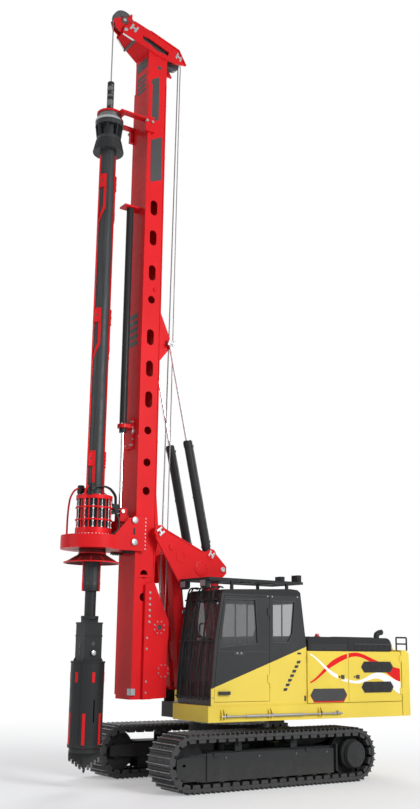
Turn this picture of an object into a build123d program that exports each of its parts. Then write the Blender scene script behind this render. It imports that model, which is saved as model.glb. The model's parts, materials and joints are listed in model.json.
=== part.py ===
from build123d import *
import math
import os

# Compact rotary piling rig, millimetres.
# X points forward to the mast, Y to the cab side, Z up. The origin is on the ground under the slewing axis.

os.makedirs("parts", exist_ok=True)

# Clearances
seat_gap = 0.3  # between pieces that rest beside each other
run_gap = 5.0  # between pieces that move past each other
pin_fit = 0.05  # radial fit of a pin or shaft in its bore

# Tracks
wheel_base = 3090.0
track_height = 814.0
track_gauge = 2020.0
shoe_width = 600.0
shoe_count = 49
lug_height = 30.0
shoe_plate = 18.0
link_depth = 29.0
lug_offset = 42.0
lug_base = 22.0
lug_tip = 12.0
shoe_gap = 14.0

# Track frames
beam_half_width = 130.0
beam_wall = 20.0
beam_top = 540.0
beam_bottom = 130.0
channel_top = 250.0
beam_front = wheel_base / 2 - 395.0
beam_rear = -beam_front
side_plate_y = 1258.0
side_plate_thick = 20.0
roller_radius = 84.0
roller_axle_radius = 25.0
carrier_radius = 78.0
hub_radius = 194.0
idler_hub_radius = 110.0
idler_axle_radius = 40.0

# Slewing bearing and platform
ring_bottom = 855.0
ring_radius = 560.0
ring_bore = 400.0
deck_bottom = 955.0
deck_top = 1185.0
deck_plate = 25.0
skirt_plate = 20.0
deck_front = 1250.0
deck_half_width = 1250.0
bay_half_width = 290.0  # of the deck's middle, which carries the luffing arm
bay_front = 1095.0
right_front = 330.0
tail_radius = 3080.0
tail_depth = 450.0
deck_rear = -(tail_radius - tail_depth)
counterweight_top = 2010.0
house_front = -610.0
house_top = 1985.0
hood_top = 2200.0
hood_seam = -1461.0
hood_rear = deck_rear + 210.0
house_wall = 40.0
hood_wall = 12.0
tank_front = -160.0
tank_wall = 12.0
box_top = 1640.0

# Cab
cab_inner = 300.0
cab_outer = 1225.0
cab_wall = 45.0
roof_line = 2810.0
door_seam = 115.0
door_bottom = 1240.0
door_top = 2775.0
glass_thick = 8.0
guard_bottom = 3000.0
guard_top = 3040.0

# Luffing parallelogram: foot and head pins of the arm and the rear link
arm_foot = (1000.0, 1450.0)
arm_head = (1215.0, 3395.0)
link_foot = (201.0, 1287.0)
link_head = (link_foot[0] + arm_head[0] - arm_foot[0], link_foot[1] + arm_head[1] - arm_foot[1])
luff_foot = (-450.0, 1330.0)
luff_eye = (1020.0, 2550.0)
arm_inner = 60.0
arm_outer = 200.0
link_inner = 90.0
link_outer = 150.0
large_pin = 45.0
small_pin = 40.0

# Support on top of the parallelogram
mast_pivot = (1610.0, 3760.0)
cylinder_foot = (640.0, 3460.0)
cylinder_eye = (1429.0, 6872.0)
cylinder_y = 270.0
cheek_inner = 355.0
cheek_outer = 385.0
web_inner = 155.0
web_outer = 180.0
beam_tube = (825.0, 3231.0)
beam_tube_radius = 130.0

# Mast
mast_half_width = 220.0
mast_rear = 1597.0
mast_front = 1970.0
mast_bottom = 1240.0
mast_top = 11700.0
mast_wall = 12.0
rail_rear = 1900.0
rail_outer = 255.0
hole_radius = 65.0
kelly_x = 2576.0

# Kelly bar and tool
kelly_radius = 136.5
kelly_bore = 118.0
kelly_rib = 150.0
kelly_lug = 158.0
kelly_rib_width = 30.0
rib_turn = 2.0  # of the first rib, degrees
lug_heights = (9396.0, 7049.0, 4714.0)
lug_length = 240.0
lug_sweep = 56.0
kelly_top = 10080.0
kelly_bottom = 2820.0
inner_radius = 85.0
bucket_radius = 250.0
gate_radius = 230.0
bucket_top = 1795.0
bucket_bottom = 576.0
teeth_tip = 216.0
row_turn = -34.0  # of the first row of teeth, degrees
socket_half = 145.0
socket_top = 2357.0

# Rotary drive on its slide
drive_bottom = 3440.0
drive_plate_top = 3640.0
guard_radius = 490.0
gearbox_radius = 280.0
gearbox_top = 4250.0
sleeve_radius = 180.0
sleeve_bore = 168.0
flange_circle = 372.0
flange_bolts = 12
flange_hole_radius = 8.75
crowd_x = 2118.0
crowd_radius = 59.0
crowd_rod_radius = 30.0
crowd_eye = 4060.0
crowd_bottom = 5330.0
crowd_top = 9190.0

# Hoist
front_sheave = (2390.0, 12670.0)
rear_sheave = (1385.0, 12205.0)
front_sheave_radius = 200.0
rear_sheave_radius = 150.0
main_drum = (1517.0, 2303.0)
auxiliary_drum = (1430.0, 1657.0)


def block(x, y, z, mode=Mode.ADD):
    """Box between pairs of limits."""
    with BuildSketch(Plane.XY.offset(min(z))) as foot:
        with Locations(((x[0] + x[1]) / 2, (y[0] + y[1]) / 2)):
            Rectangle(abs(x[1] - x[0]), abs(y[1] - y[0]))
    extrude(foot.sketch, amount=abs(z[1] - z[0]), mode=mode)


def plate(outline, y, mode=Mode.ADD):
    """Plate with an outline in x and z, between two values of y."""
    with BuildSketch(Plane.XZ.offset(-max(y))) as face:
        with BuildLine():
            Polyline(*outline, close=True)
        make_face()
    extrude(face.sketch, amount=abs(y[1] - y[0]), mode=mode)


def slab(outline, z, mode=Mode.ADD):
    """Slab with an outline in x and y, between two heights."""
    with BuildSketch(Plane.XY.offset(min(z))) as face:
        with BuildLine():
            Polyline(*outline, close=True)
        make_face()
    extrude(face.sketch, amount=abs(z[1] - z[0]), mode=mode)


def barrel(centre, radius, y, mode=Mode.ADD):
    """Cylinder across the rig, its centre in x and z."""
    with BuildSketch(Plane.XZ.offset(-max(y))) as face:
        with Locations(centre):
            Circle(radius)
    extrude(face.sketch, amount=abs(y[1] - y[0]), mode=mode)


def post(centre, radius, z, mode=Mode.ADD):
    """Upright cylinder, its centre in x and y."""
    with BuildSketch(Plane.XY.offset(min(z))) as face:
        with Locations(centre):
            Circle(radius)
    extrude(face.sketch, amount=abs(z[1] - z[0]), mode=mode)


def rod(start, end, y, radius, mode=Mode.ADD):
    """Round bar between two points in x and z, at one value of y."""
    along = Vector(end[0] - start[0], 0, end[1] - start[1])
    with BuildSketch(Plane(origin=(start[0], y, start[1]), z_dir=along.normalized())) as face:
        Circle(radius)
    extrude(face.sketch, amount=along.length, mode=mode)


def link(start, end, radius, y, mode=Mode.ADD):
    """Flat bar with round ends between two points in x and z."""
    with BuildSketch(Plane.XZ.offset(-max(y))) as face:
        with Locations(((start[0] + end[0]) / 2, (start[1] + end[1]) / 2)):
            length = math.hypot(end[0] - start[0], end[1] - start[1])
            turn = math.degrees(math.atan2(end[1] - start[1], end[0] - start[0]))
            SlotCenterToCenter(length, 2 * radius, rotation=turn)
    extrude(face.sketch, amount=abs(y[1] - y[0]), mode=mode)


def between(start, end, distance):
    """Point at a distance from start towards end."""
    share = distance / math.hypot(end[0] - start[0], end[1] - start[1])
    return (start[0] + (end[0] - start[0]) * share, start[1] + (end[1] - start[1]) * share)


def rounded(centre, radius, start, end, count=8):
    """Points along an arc, angles in degrees."""
    turns = [math.radians(start + (end - start) * step / count) for step in range(count + 1)]
    return [(centre[0] + radius * math.cos(turn), centre[1] + radius * math.sin(turn)) for turn in turns]


# Undercarriage
half_base = wheel_base / 2
wheel_z = track_height / 2
pitch_radius = wheel_z - lug_height - shoe_plate - 6
loop_radius = pitch_radius - link_depth + 6
loop_length = 2 * wheel_base + 2 * math.pi * pitch_radius
shoe_pitch = loop_length / shoe_count


def on_loop(distance, lift):
    """Point beside the track's pitch line: distance along it and lift outward."""
    distance = distance % loop_length
    turn_length = math.pi * pitch_radius
    reach = pitch_radius + lift
    if distance < wheel_base:
        return (half_base - distance, wheel_z - reach)
    if distance < wheel_base + turn_length:
        turn = (distance - wheel_base) / pitch_radius
        return (-half_base - reach * math.sin(turn), wheel_z - reach * math.cos(turn))
    if distance < 2 * wheel_base + turn_length:
        return (-half_base + distance - wheel_base - turn_length, wheel_z + reach)
    turn = (distance - 2 * wheel_base - turn_length) / pitch_radius
    return (half_base + reach * math.sin(turn), wheel_z + reach * math.cos(turn))


def shoe_outline(index):
    """Outer outline of one track shoe with its two lugs."""
    middle = (index + 0.5) * shoe_pitch
    half = (shoe_pitch - shoe_gap) / 2
    top = 6 + shoe_plate
    # offset along the shoe, height above the pitch line
    profile = [(-half, 6), (-half, top)]
    for centre in (-lug_offset, lug_offset):
        profile += [(centre - lug_base / 2, top), (centre - lug_tip / 2, top + lug_height)]
        profile += [(centre + lug_tip / 2, top + lug_height), (centre + lug_base / 2, top)]
    profile += [(half, top), (half, 6)]
    return [on_loop(middle + along, lift) for along, lift in profile]


track_outline = [point for index in range(shoe_count) for point in shoe_outline(index)]

for side, name in ((1, "left"), (-1, "right")):
    middle_y = side * track_gauge / 2
    with BuildPart() as track:
        plate(track_outline, (middle_y - shoe_width / 2, middle_y + shoe_width / 2))
        with BuildSketch(Plane.XZ.offset(-middle_y - shoe_width / 2)) as inside:
            with Locations((0, wheel_z)):
                SlotCenterToCenter(wheel_base, 2 * loop_radius)
        extrude(inside.sketch, amount=shoe_width, mode=Mode.SUBTRACT)
    track.part.label = f"track_{name}"
    export_step(track.part, f"parts/track_{name}.step")


def across(side, inner, outer):
    """Limits of y at two distances out from a track's middle."""
    return (side * (track_gauge / 2 + inner), side * (track_gauge / 2 + outer))


with BuildPart() as track_frames:
    for side in (1, -1):
        full = across(side, -beam_half_width, beam_half_width)
        block((beam_rear, beam_front), full, (beam_bottom, beam_top))
        block((beam_rear, beam_front), across(side, -beam_half_width + beam_wall, beam_half_width - beam_wall),
              (beam_bottom, channel_top), mode=Mode.SUBTRACT)
        outer_y = (side * side_plate_y, side * (side_plate_y + side_plate_thick))
        cheek_rear, cheek_bend, cheek_front = -half_base + 455, half_base - 205, half_base + 245
        plate([(cheek_rear, 160), (cheek_bend, 155), (cheek_front, 215), (cheek_front, 480),
               (cheek_bend, 540), (cheek_rear, 520)], outer_y)
        block((half_base + 95, half_base + 145), outer_y, (375, 410), mode=Mode.SUBTRACT)
        for x in (-half_base + 545, -350, 300, half_base - 645):
            block((x, x + 30), (side * (track_gauge / 2 + beam_half_width), side * side_plate_y), (channel_top, 500))
        for inner, outer in ((-155, -130), (130, 155)):
            plate([(half_base - 645, 300), (half_base + 135, 330), (half_base + 135, 490), (half_base - 645, 520)],
                  across(side, inner, outer))
        for x in (half_base - 365, half_base + 45):
            block((x, x + 30), (side * (track_gauge / 2 + 155), side * side_plate_y), (330, 490))
        plate([(-half_base + 645, 200), (-half_base + 545, 540)] + rounded((-half_base, wheel_z), 240, 60, 300),
              across(side, -155, -130))
        for x in (640, -400):
            for inner, outer in ((-125, -110), (110, 125)):
                block((x - 40, x + 40), across(side, inner, outer), (beam_top, 690))
        for inner, outer in ((-155, -130), (130, 155)):
            barrel((half_base, wheel_z), idler_axle_radius + seat_gap, across(side, inner, outer), mode=Mode.SUBTRACT)
track_frames.part.label = "track_frames"
export_step(track_frames.part, "parts/track_frames.step")

wheel_radius = loop_radius - 3
with BuildPart() as idlers:
    for side in (1, -1):
        middle_y = side * track_gauge / 2
        barrel((half_base, wheel_z), wheel_radius, (middle_y - 70, middle_y + 70))
        barrel((half_base, wheel_z), idler_hub_radius, (middle_y - 125, middle_y + 125))
        barrel((half_base, wheel_z), idler_axle_radius, (middle_y - 155, middle_y + 155))
idlers.part.label = "idlers"
export_step(idlers.part, "parts/idlers.step")

with BuildPart() as sprockets:
    for side in (1, -1):
        middle_y = side * track_gauge / 2
        barrel((-half_base, wheel_z), wheel_radius, (middle_y - 45, middle_y + 45))
        barrel((-half_base, wheel_z), 170, (middle_y - side * (beam_half_width - seat_gap), middle_y + side * 220))
        barrel((-half_base, wheel_z), hub_radius, (middle_y + side * 220, middle_y + side * 280))
sprockets.part.label = "sprockets"
export_step(sprockets.part, "parts/sprockets.step")

with BuildPart() as rollers:
    for side in (1, -1):
        middle_y = side * track_gauge / 2
        for share in (-1, -0.6, -0.2, 0.2, 0.6, 1):
            centre = (share * (half_base - 545), wheel_z - loop_radius + seat_gap + roller_radius)
            barrel(centre, roller_radius, (middle_y - 95, middle_y + 95))
            barrel(centre, roller_axle_radius, (middle_y - 109.7, middle_y + 109.7))
        for x in (640, -400):
            centre = (x, wheel_z + loop_radius - seat_gap - carrier_radius)
            barrel(centre, carrier_radius, (middle_y - 95, middle_y + 95))
            barrel(centre, roller_axle_radius, (middle_y - 109.7, middle_y + 109.7))
rollers.part.label = "rollers"
export_step(rollers.part, "parts/rollers.step")

with BuildPart() as car_body:
    reach = track_gauge / 2 - beam_half_width - seat_gap
    block((-700, 700), (-600, 600), (330, 620))
    for x in ((-620, -250), (250, 620)):
        block(x, (-reach, reach), (330, 600))
    post((0, 0), 640, (620, ring_bottom))
    block((-670, 670), (-570, 570), (330, 590), mode=Mode.SUBTRACT)
    for x in ((-600, -270), (270, 600)):
        block(x, (-reach + 30, reach - 30), (330, 580), mode=Mode.SUBTRACT)
    post((0, 0), ring_bore, (560, ring_bottom), mode=Mode.SUBTRACT)
car_body.part.label = "car_body"
export_step(car_body.part, "parts/car_body.step")

ring_top = deck_bottom - seat_gap
with BuildPart() as slewing_ring:
    post((0, 0), ring_radius, (ring_bottom, ring_top))
    post((0, 0), ring_bore, (ring_bottom, ring_top), mode=Mode.SUBTRACT)
slewing_ring.part.label = "slewing_ring"
export_step(slewing_ring.part, "parts/slewing_ring.step")

# Platform

def pin_ear(centre, radius, half_foot, y):
    """Pair of ears on the deck round a pin, one on each side."""
    for side in (1, -1):
        pair = (side * y[0], side * y[1])
        plate([(centre[0] - half_foot, deck_top), (centre[0] + half_foot, deck_top),
               (centre[0] + radius, centre[1]), (centre[0] - radius, centre[1])], pair)
        barrel(centre, radius, pair)


with BuildPart() as platform:
    slab([(deck_rear, deck_half_width), (deck_front, deck_half_width), (deck_front, bay_half_width),
          (bay_front, bay_half_width), (bay_front, -bay_half_width), (right_front, -bay_half_width),
          (right_front, -deck_half_width), (deck_rear, -deck_half_width)], (deck_bottom, deck_top))
    inner_y = deck_half_width - skirt_plate
    bay_inner = bay_half_width - skirt_plate
    under = (deck_bottom, deck_top - deck_plate)
    block((720, deck_front - skirt_plate), (bay_half_width + skirt_plate, inner_y), under, mode=Mode.SUBTRACT)
    block((720, bay_front - skirt_plate), (-bay_inner, bay_inner), under, mode=Mode.SUBTRACT)
    block((deck_rear + skirt_plate, -720), (-inner_y, inner_y), under, mode=Mode.SUBTRACT)
    block((-720, 720), (720, inner_y), under, mode=Mode.SUBTRACT)
    block((-720, right_front - skirt_plate), (-720, -inner_y), under, mode=Mode.SUBTRACT)
    pin_ear(arm_foot, 90, 90, (arm_outer + run_gap, arm_outer + 35))
    pin_ear(link_foot, 75, 120, (link_outer + run_gap, link_outer + 30))
    pin_ear(luff_foot, 80, 120, (50, 80))
    barrel(arm_foot, large_pin, (-arm_outer - 35, arm_outer + 35))
    barrel(link_foot, small_pin, (-link_outer - 30, link_outer + 30))
    barrel(luff_foot, small_pin, (-80, 80))
platform.part.label = "platform"
export_step(platform.part, "parts/platform.step")

tail_inner = math.sqrt(tail_radius**2 - deck_half_width**2)
with BuildPart() as counterweight:
    with BuildSketch(Plane.XY.offset(deck_bottom)) as foot:
        with BuildLine():
            Polyline((-tail_inner, deck_half_width), (deck_rear - seat_gap, deck_half_width),
                     (deck_rear - seat_gap, -deck_half_width), (-tail_inner, -deck_half_width))
            ThreePointArc((-tail_inner, -deck_half_width), (-tail_radius, 0), (-tail_inner, deck_half_width))
        make_face()
    extrude(foot.sketch, amount=counterweight_top - deck_bottom)
    rims = counterweight.edges().filter_by(lambda edge: abs(edge.center().Z - counterweight_top) < 1)
    chamfer(rims.filter_by(GeomType.CIRCLE), 60)
counterweight.part.label = "counterweight"
export_step(counterweight.part, "parts/counterweight.step")

# Engine house
house_rear = deck_rear + seat_gap
frame_half = deck_half_width - house_wall - seat_gap
with BuildPart() as house_frame:
    block((house_rear, house_front), (-frame_half, frame_half), (deck_top, house_top))
    block((house_rear + house_wall, house_front - house_wall), (-frame_half + house_wall, frame_half - house_wall),
          (deck_top, house_top), mode=Mode.SUBTRACT)
    for x in ((house_rear + 60, hood_seam - 40), (hood_seam + 40, house_front - 60)):
        block(x, (-frame_half, frame_half), (deck_top + 60, house_top - 60), mode=Mode.SUBTRACT)
house_frame.part.label = "house_frame"
export_step(house_frame.part, "parts/house_frame.step")

house_hinge_y = deck_half_width + 7
door_hinge_heights = (1300, 1820)
door_limits = {"front": (hood_seam + 3, house_front - 3), "rear": (deck_rear + 6, hood_seam - 3)}
for side, side_name in ((1, "left"), (-1, "right")):
    for end, limits in door_limits.items():
        with BuildPart() as house_door:
            block(limits, (side * (frame_half + seat_gap), side * deck_half_width), (deck_top + 10, house_top - 7))
            hinge_x = limits[1] if end == "front" else limits[0]
            leaf = -40 if end == "front" else 40
            for z in door_hinge_heights:
                post((hinge_x, side * house_hinge_y), 7, (z, z + 100))
                block((hinge_x, hinge_x + leaf), (side * deck_half_width, side * (house_hinge_y + 7)), (z, z + 100))
        house_door.part.label = f"house_door_{side_name}_{end}"
        export_step(house_door.part, f"parts/house_door_{side_name}_{end}.step")

with BuildPart() as house_roof:
    plate([(hood_seam + 3, house_top), (house_front - 20, house_top), (house_front - 20, hood_top - 50),
           (house_front - 60, hood_top), (hood_seam + 3, hood_top)], (-deck_half_width, deck_half_width))
    plate([(hood_seam + 3 + hood_wall, house_top), (house_front - 20 - hood_wall, house_top),
           (house_front - 20 - hood_wall, hood_top - 60), (house_front - 70, hood_top - hood_wall),
           (hood_seam + 3 + hood_wall, hood_top - hood_wall)],
          (-deck_half_width + hood_wall, deck_half_width - hood_wall), mode=Mode.SUBTRACT)
house_roof.part.label = "house_roof"
export_step(house_roof.part, "parts/house_roof.step")

with BuildPart() as hood:
    corner = rounded((hood_rear + 120, hood_top - 120), 120, 90, 180, 4)
    seat = house_top + seat_gap
    plate([(hood_seam - 3, seat), (hood_seam - 3, hood_top)] + corner + [(hood_rear, seat)],
          (-deck_half_width, deck_half_width))
    corner = rounded((hood_rear + 120, hood_top - 120), 120 - hood_wall, 90, 180, 4)
    plate([(hood_seam - 3 - hood_wall, house_top), (hood_seam - 3 - hood_wall, hood_top - hood_wall)] + corner
          + [(hood_rear + hood_wall, house_top)],
          (-deck_half_width + hood_wall, deck_half_width - hood_wall), mode=Mode.SUBTRACT)
    for y in (-900, 0, 900):
        barrel((hood_seam - 3, hood_top + 6), 6, (y - 60, y + 60))
        block((hood_seam - 60, hood_seam - 3), (y - 60, y + 60), (hood_top, hood_top + 6))
hood.part.label = "hood"
export_step(hood.part, "parts/hood.step")

with BuildPart() as engine:
    block((deck_rear + 230, -1500), (-350, 350), (deck_top, 1800))
engine.part.label = "engine"
export_step(engine.part, "parts/engine.step")

tank_y = (-1230, -cab_inner - 40)
with BuildPart() as fuel_tank:
    block((house_front + 6, tank_front), tank_y, (deck_top, 1960))
    fillet(fuel_tank.edges().filter_by(Axis.Z), 60)
    block((house_front + 66, tank_front - 60), (tank_y[0] + 60, tank_y[1] - 60), (deck_top + tank_wall, 1960 - tank_wall),
          mode=Mode.SUBTRACT)
fuel_tank.part.label = "fuel_tank"
export_step(fuel_tank.part, "parts/fuel_tank.step")

box_rear = tank_front + 10
box_front = right_front - 10
with BuildPart() as tool_box:
    block((box_rear, box_front), tank_y, (deck_top, box_top))
    block((box_rear + 30, box_front - 30), (tank_y[0] + 30, tank_y[1] - 30), (deck_top + 30, box_top), mode=Mode.SUBTRACT)
tool_box.part.label = "tool_box"
export_step(tool_box.part, "parts/tool_box.step")

with BuildPart() as tool_box_lid:
    block((box_rear, box_front), tank_y, (box_top + seat_gap, box_top + 30))
    for x in (box_rear + 50, box_front - 150):
        with BuildSketch(Plane.YZ.offset(x)) as face:
            with Locations((tank_y[1], box_top + 36)):
                Circle(6)
        extrude(face.sketch, amount=100)
        block((x, x + 100), (tank_y[1] - 40, tank_y[1]), (box_top + 30, box_top + 36))
tool_box_lid.part.label = "tool_box_lid"
export_step(tool_box_lid.part, "parts/tool_box_lid.step")

with BuildPart() as side_pipe:
    with BuildSketch(Plane.YZ.offset(-1279)) as face:
        with Locations((1285, 1035)):
            Circle(14)
    extrude(face.sketch, amount=2306)
    with BuildSketch(Plane.YZ.offset(-500)) as face:
        with Locations((1285, 1035)):
            Circle(20)
    extrude(face.sketch, amount=1100)
    for x in (-1150, -100, 900):
        block((x, x + 40), (deck_half_width + seat_gap, 1285), (1015, 1055))
side_pipe.part.label = "side_pipe"
export_step(side_pipe.part, "parts/side_pipe.step")

# Cab: side profile in x and z
windscreen_line = [(1185, 1424), (1124, 2119), (1006, 2822)]
roof_front = (951, 2868)
roof_rear = (-297, 2921)
cab_profile = [(1182, deck_top), *windscreen_line, (985, 2850), roof_front, roof_rear, (-440, 2910),
               (-499, 2870), (-610, 2068), (-610, deck_top)]
inner_profile = [(1137, deck_top + 40), (1140, 1424), (1079, 2116), (965, 2790), (-440, 2790),
                 (-460, 2750), (-565, 2068), (-565, deck_top + 40)]
door_profile = [(1125, door_bottom), (1125, 1424), (1068, 2110), (958, door_top), (door_seam, door_top),
                (door_seam, door_bottom)]
door_glass = [(1025, 2020), (930, 2715), (389, 2726), (340, 2086)]
door_axis = (door_seam, cab_outer + 7)
hinge_heights = (1500, 2500)
rear_glass = [(50, 2110), (50, 2720), (-380, 2720), (-330, 2240), (-250, 2110)]


def roof_height(x):
    """Height of the roof's flat top at x."""
    return roof_rear[1] + (x - roof_rear[0]) * (roof_front[1] - roof_rear[1]) / (roof_front[0] - roof_rear[0])


with BuildPart() as cab_shell:
    plate(cab_profile, (cab_inner, cab_outer))
    plate(inner_profile, (cab_inner + cab_wall, cab_outer - cab_wall), mode=Mode.SUBTRACT)
    block((-700, 1300), (cab_inner - 1, cab_outer + 1), (roof_line, 3000), mode=Mode.SUBTRACT)
    block((900, 1300), (cab_inner + 70, cab_outer - 70), (1480, 2740), mode=Mode.SUBTRACT)
    block((-700, -450), (cab_inner + 90, cab_outer - 90), (2200, 2700), mode=Mode.SUBTRACT)
    block((-300, 850), (cab_inner - 1, cab_inner + cab_wall + 1), (2100, 2700), mode=Mode.SUBTRACT)
    plate(rear_glass, (cab_outer - cab_wall - 1, cab_outer + 1), mode=Mode.SUBTRACT)
    with BuildSketch(Plane.XZ.offset(-cab_outer - 1)) as opening:
        with BuildLine():
            Polyline(*door_profile, close=True)
        make_face()
        offset(amount=run_gap + 1, kind=Kind.INTERSECTION)
    extrude(opening.sketch, amount=cab_wall + 2, mode=Mode.SUBTRACT)
    for z in hinge_heights:
        post(door_axis, 6, (z - 60, z - seat_gap))
        block((door_seam - 55, door_seam), (cab_outer, cab_outer + 12), (z - 60, z - seat_gap))
cab_shell.part.label = "cab_shell"
export_step(cab_shell.part, "parts/cab_shell.step")

with BuildPart() as cab_roof:
    plate(cab_profile, (cab_inner, cab_outer))
    block((-700, 1300), (cab_inner - 1, cab_outer + 1), (deck_top - 1, roof_line), mode=Mode.SUBTRACT)
    block((-440, 930), (cab_inner + 40, cab_outer - 40), (roof_line, roof_line + 35), mode=Mode.SUBTRACT)
cab_roof.part.label = "cab_roof"
export_step(cab_roof.part, "parts/cab_roof.step")

door_y = (cab_outer - cab_wall, cab_outer)
with BuildPart() as cab_door:
    plate(door_profile, door_y)
    plate(door_glass, door_y, mode=Mode.SUBTRACT)
    block((870, 1060), (cab_outer + 20, cab_outer + 35), (1350, 1375))
    for x in (880, 1040):
        block((x, x + 15), (cab_outer, cab_outer + 20), (1350, 1375))
    for z in hinge_heights:
        post(door_axis, 7, (z, z + 120))
        block((door_seam, door_seam + 40), (cab_outer, cab_outer + 14), (z, z + 120))
cab_door.part.label = "cab_door"
export_step(cab_door.part, "parts/cab_door.step")

with BuildPart() as door_window:
    middle = cab_outer - cab_wall / 2
    with BuildSketch(Plane.XZ.offset(-middle - glass_thick / 2)) as pane:
        with BuildLine():
            Polyline(*door_glass, close=True)
        make_face()
        offset(amount=-seat_gap, kind=Kind.INTERSECTION)
    extrude(pane.sketch, amount=glass_thick)
door_window.part.label = "door_window"
export_step(door_window.part, "parts/door_window.step")

with BuildPart() as cab_windows:
    middle = cab_outer - cab_wall / 2
    with BuildSketch(Plane.XZ.offset(-middle - glass_thick / 2)) as pane:
        with BuildLine():
            Polyline(*rear_glass, close=True)
        make_face()
        offset(amount=-seat_gap, kind=Kind.INTERSECTION)
    extrude(pane.sketch, amount=glass_thick)
    middle = cab_inner + cab_wall / 2
    block((-300 + seat_gap, 850 - seat_gap), (middle, middle + glass_thick), (2100 + seat_gap, 2700 - seat_gap))
    low = 1480 + seat_gap
    high = 2740 - seat_gap
    lean = (1185 - 1124) / (2119 - 1424)
    upper_lean = (1124 - 1006) / (2822 - 2119)
    front = [(1185 - (low - 1424) * lean - 15, low), (1124 - 15, 2119), (1124 - (high - 2119) * upper_lean - 15, high)]
    back = [(x - glass_thick, z) for x, z in reversed(front)]
    plate(front + back, (cab_inner + 70 + seat_gap, cab_outer - 70 - seat_gap))
cab_windows.part.label = "cab_windows"
export_step(cab_windows.part, "parts/cab_windows.step")

with BuildPart() as operator_seat:
    floor = deck_top + 40
    block((-50, 350), (560, 960), (floor, floor + 330))
    block((-100, 420), (510, 1010), (floor + 330, floor + 440))
    plate([(-100, floor + 440), (30, floor + 440), (-60, floor + 1180), (-170, floor + 1180)], (510, 1010))
operator_seat.part.label = "operator_seat"
export_step(operator_seat.part, "parts/operator_seat.step")

with BuildPart() as console:
    block((500, 760), (cab_inner + cab_wall, 480), (floor, floor + 700))
    block((-100, 420), (390, 480), (floor, floor + 620))
console.part.label = "console"
export_step(console.part, "parts/console.step")

with BuildPart() as roof_guard:
    left = 400
    right = 1200
    for y in (left, right - 40):
        block((-578, 1231), (y, y + 40), (guard_bottom, guard_top))
    for x in (-578, -130, 320, 780, 1191):
        block((x, x + 40), (left, right), (guard_bottom, guard_top))
    for y in (540, 680, 820, 960):
        block((-578, 1231), (y, y + 25), (guard_bottom + 5, guard_top - 5))
    for y in (left, right - 40):
        for x in (-280, 780):
            block((x, x + 40), (y, y + 40), (roof_height(x) + seat_gap, guard_bottom))
roof_guard.part.label = "roof_guard"
export_step(roof_guard.part, "parts/roof_guard.step")

# Luffing parallelogram and its cylinder
with BuildPart() as luff_arm:
    for side in (1, -1):
        pair = (side * arm_inner, side * arm_outer)
        link(arm_foot, arm_head, 85, pair)
        barrel(arm_foot, 90, pair)
        barrel(arm_head, 90, pair)
        barrel(luff_eye, 75, pair)
    for distance in (350, 900):
        low = between(arm_foot, arm_head, distance)
        high = between(arm_foot, arm_head, distance + 300)
        link((low[0] + 50, low[1]), (high[0] + 50, high[1]), 15, (-arm_inner, arm_inner))
    barrel(arm_foot, large_pin + pin_fit, (-arm_outer - 1, arm_outer + 1), mode=Mode.SUBTRACT)
    barrel(arm_head, large_pin + pin_fit, (-arm_outer - 1, arm_outer + 1), mode=Mode.SUBTRACT)
luff_arm.part.label = "luff_arm"
export_step(luff_arm.part, "parts/luff_arm.step")

with BuildPart() as rear_link:
    for side in (1, -1):
        pair = (side * link_inner, side * link_outer)
        link(link_foot, link_head, 60, pair)
        barrel(link_head, 70, pair)
    barrel(between(link_foot, link_head, 1600), 45, (-link_inner, link_inner))
    for centre in (link_foot, link_head):
        barrel(centre, small_pin + pin_fit, (-link_outer - 1, link_outer + 1), mode=Mode.SUBTRACT)
rear_link.part.label = "rear_link"
export_step(rear_link.part, "parts/rear_link.step")

luff_barrel_length = 1250.0
luff_rod_length = 1250.0
luff_span = math.hypot(luff_eye[0] - luff_foot[0], luff_eye[1] - luff_foot[1])
with BuildPart() as luff_barrel:
    gland = between(luff_foot, luff_eye, luff_barrel_length)
    rod(luff_foot, between(luff_foot, luff_eye, 100), 0, 44)
    rod(between(luff_foot, luff_eye, 95), gland, 0, 58)
    rod(between(luff_foot, luff_eye, 130), gland, 0, 45, mode=Mode.SUBTRACT)
    rod(between(luff_foot, luff_eye, luff_barrel_length - 60), gland, 0, 55)
    rod(between(luff_foot, luff_eye, luff_barrel_length - 60), gland, 0, 35 + pin_fit, mode=Mode.SUBTRACT)
    barrel(luff_foot, 75, (-45, 45))
    barrel(luff_foot, small_pin + pin_fit, (-46, 46), mode=Mode.SUBTRACT)
luff_barrel.part.label = "luff_barrel"
export_step(luff_barrel.part, "parts/luff_barrel.step")

with BuildPart() as luff_rod:
    piston = between(luff_foot, luff_eye, luff_span - luff_rod_length)
    rod(piston, luff_eye, 0, 35)
    rod(piston, between(luff_foot, luff_eye, luff_span - luff_rod_length + 60), 0, 45 - pin_fit)
    barrel(luff_eye, 60, (-55, 55))
luff_rod.part.label = "luff_rod"
export_step(luff_rod.part, "parts/luff_rod.step")

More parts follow.
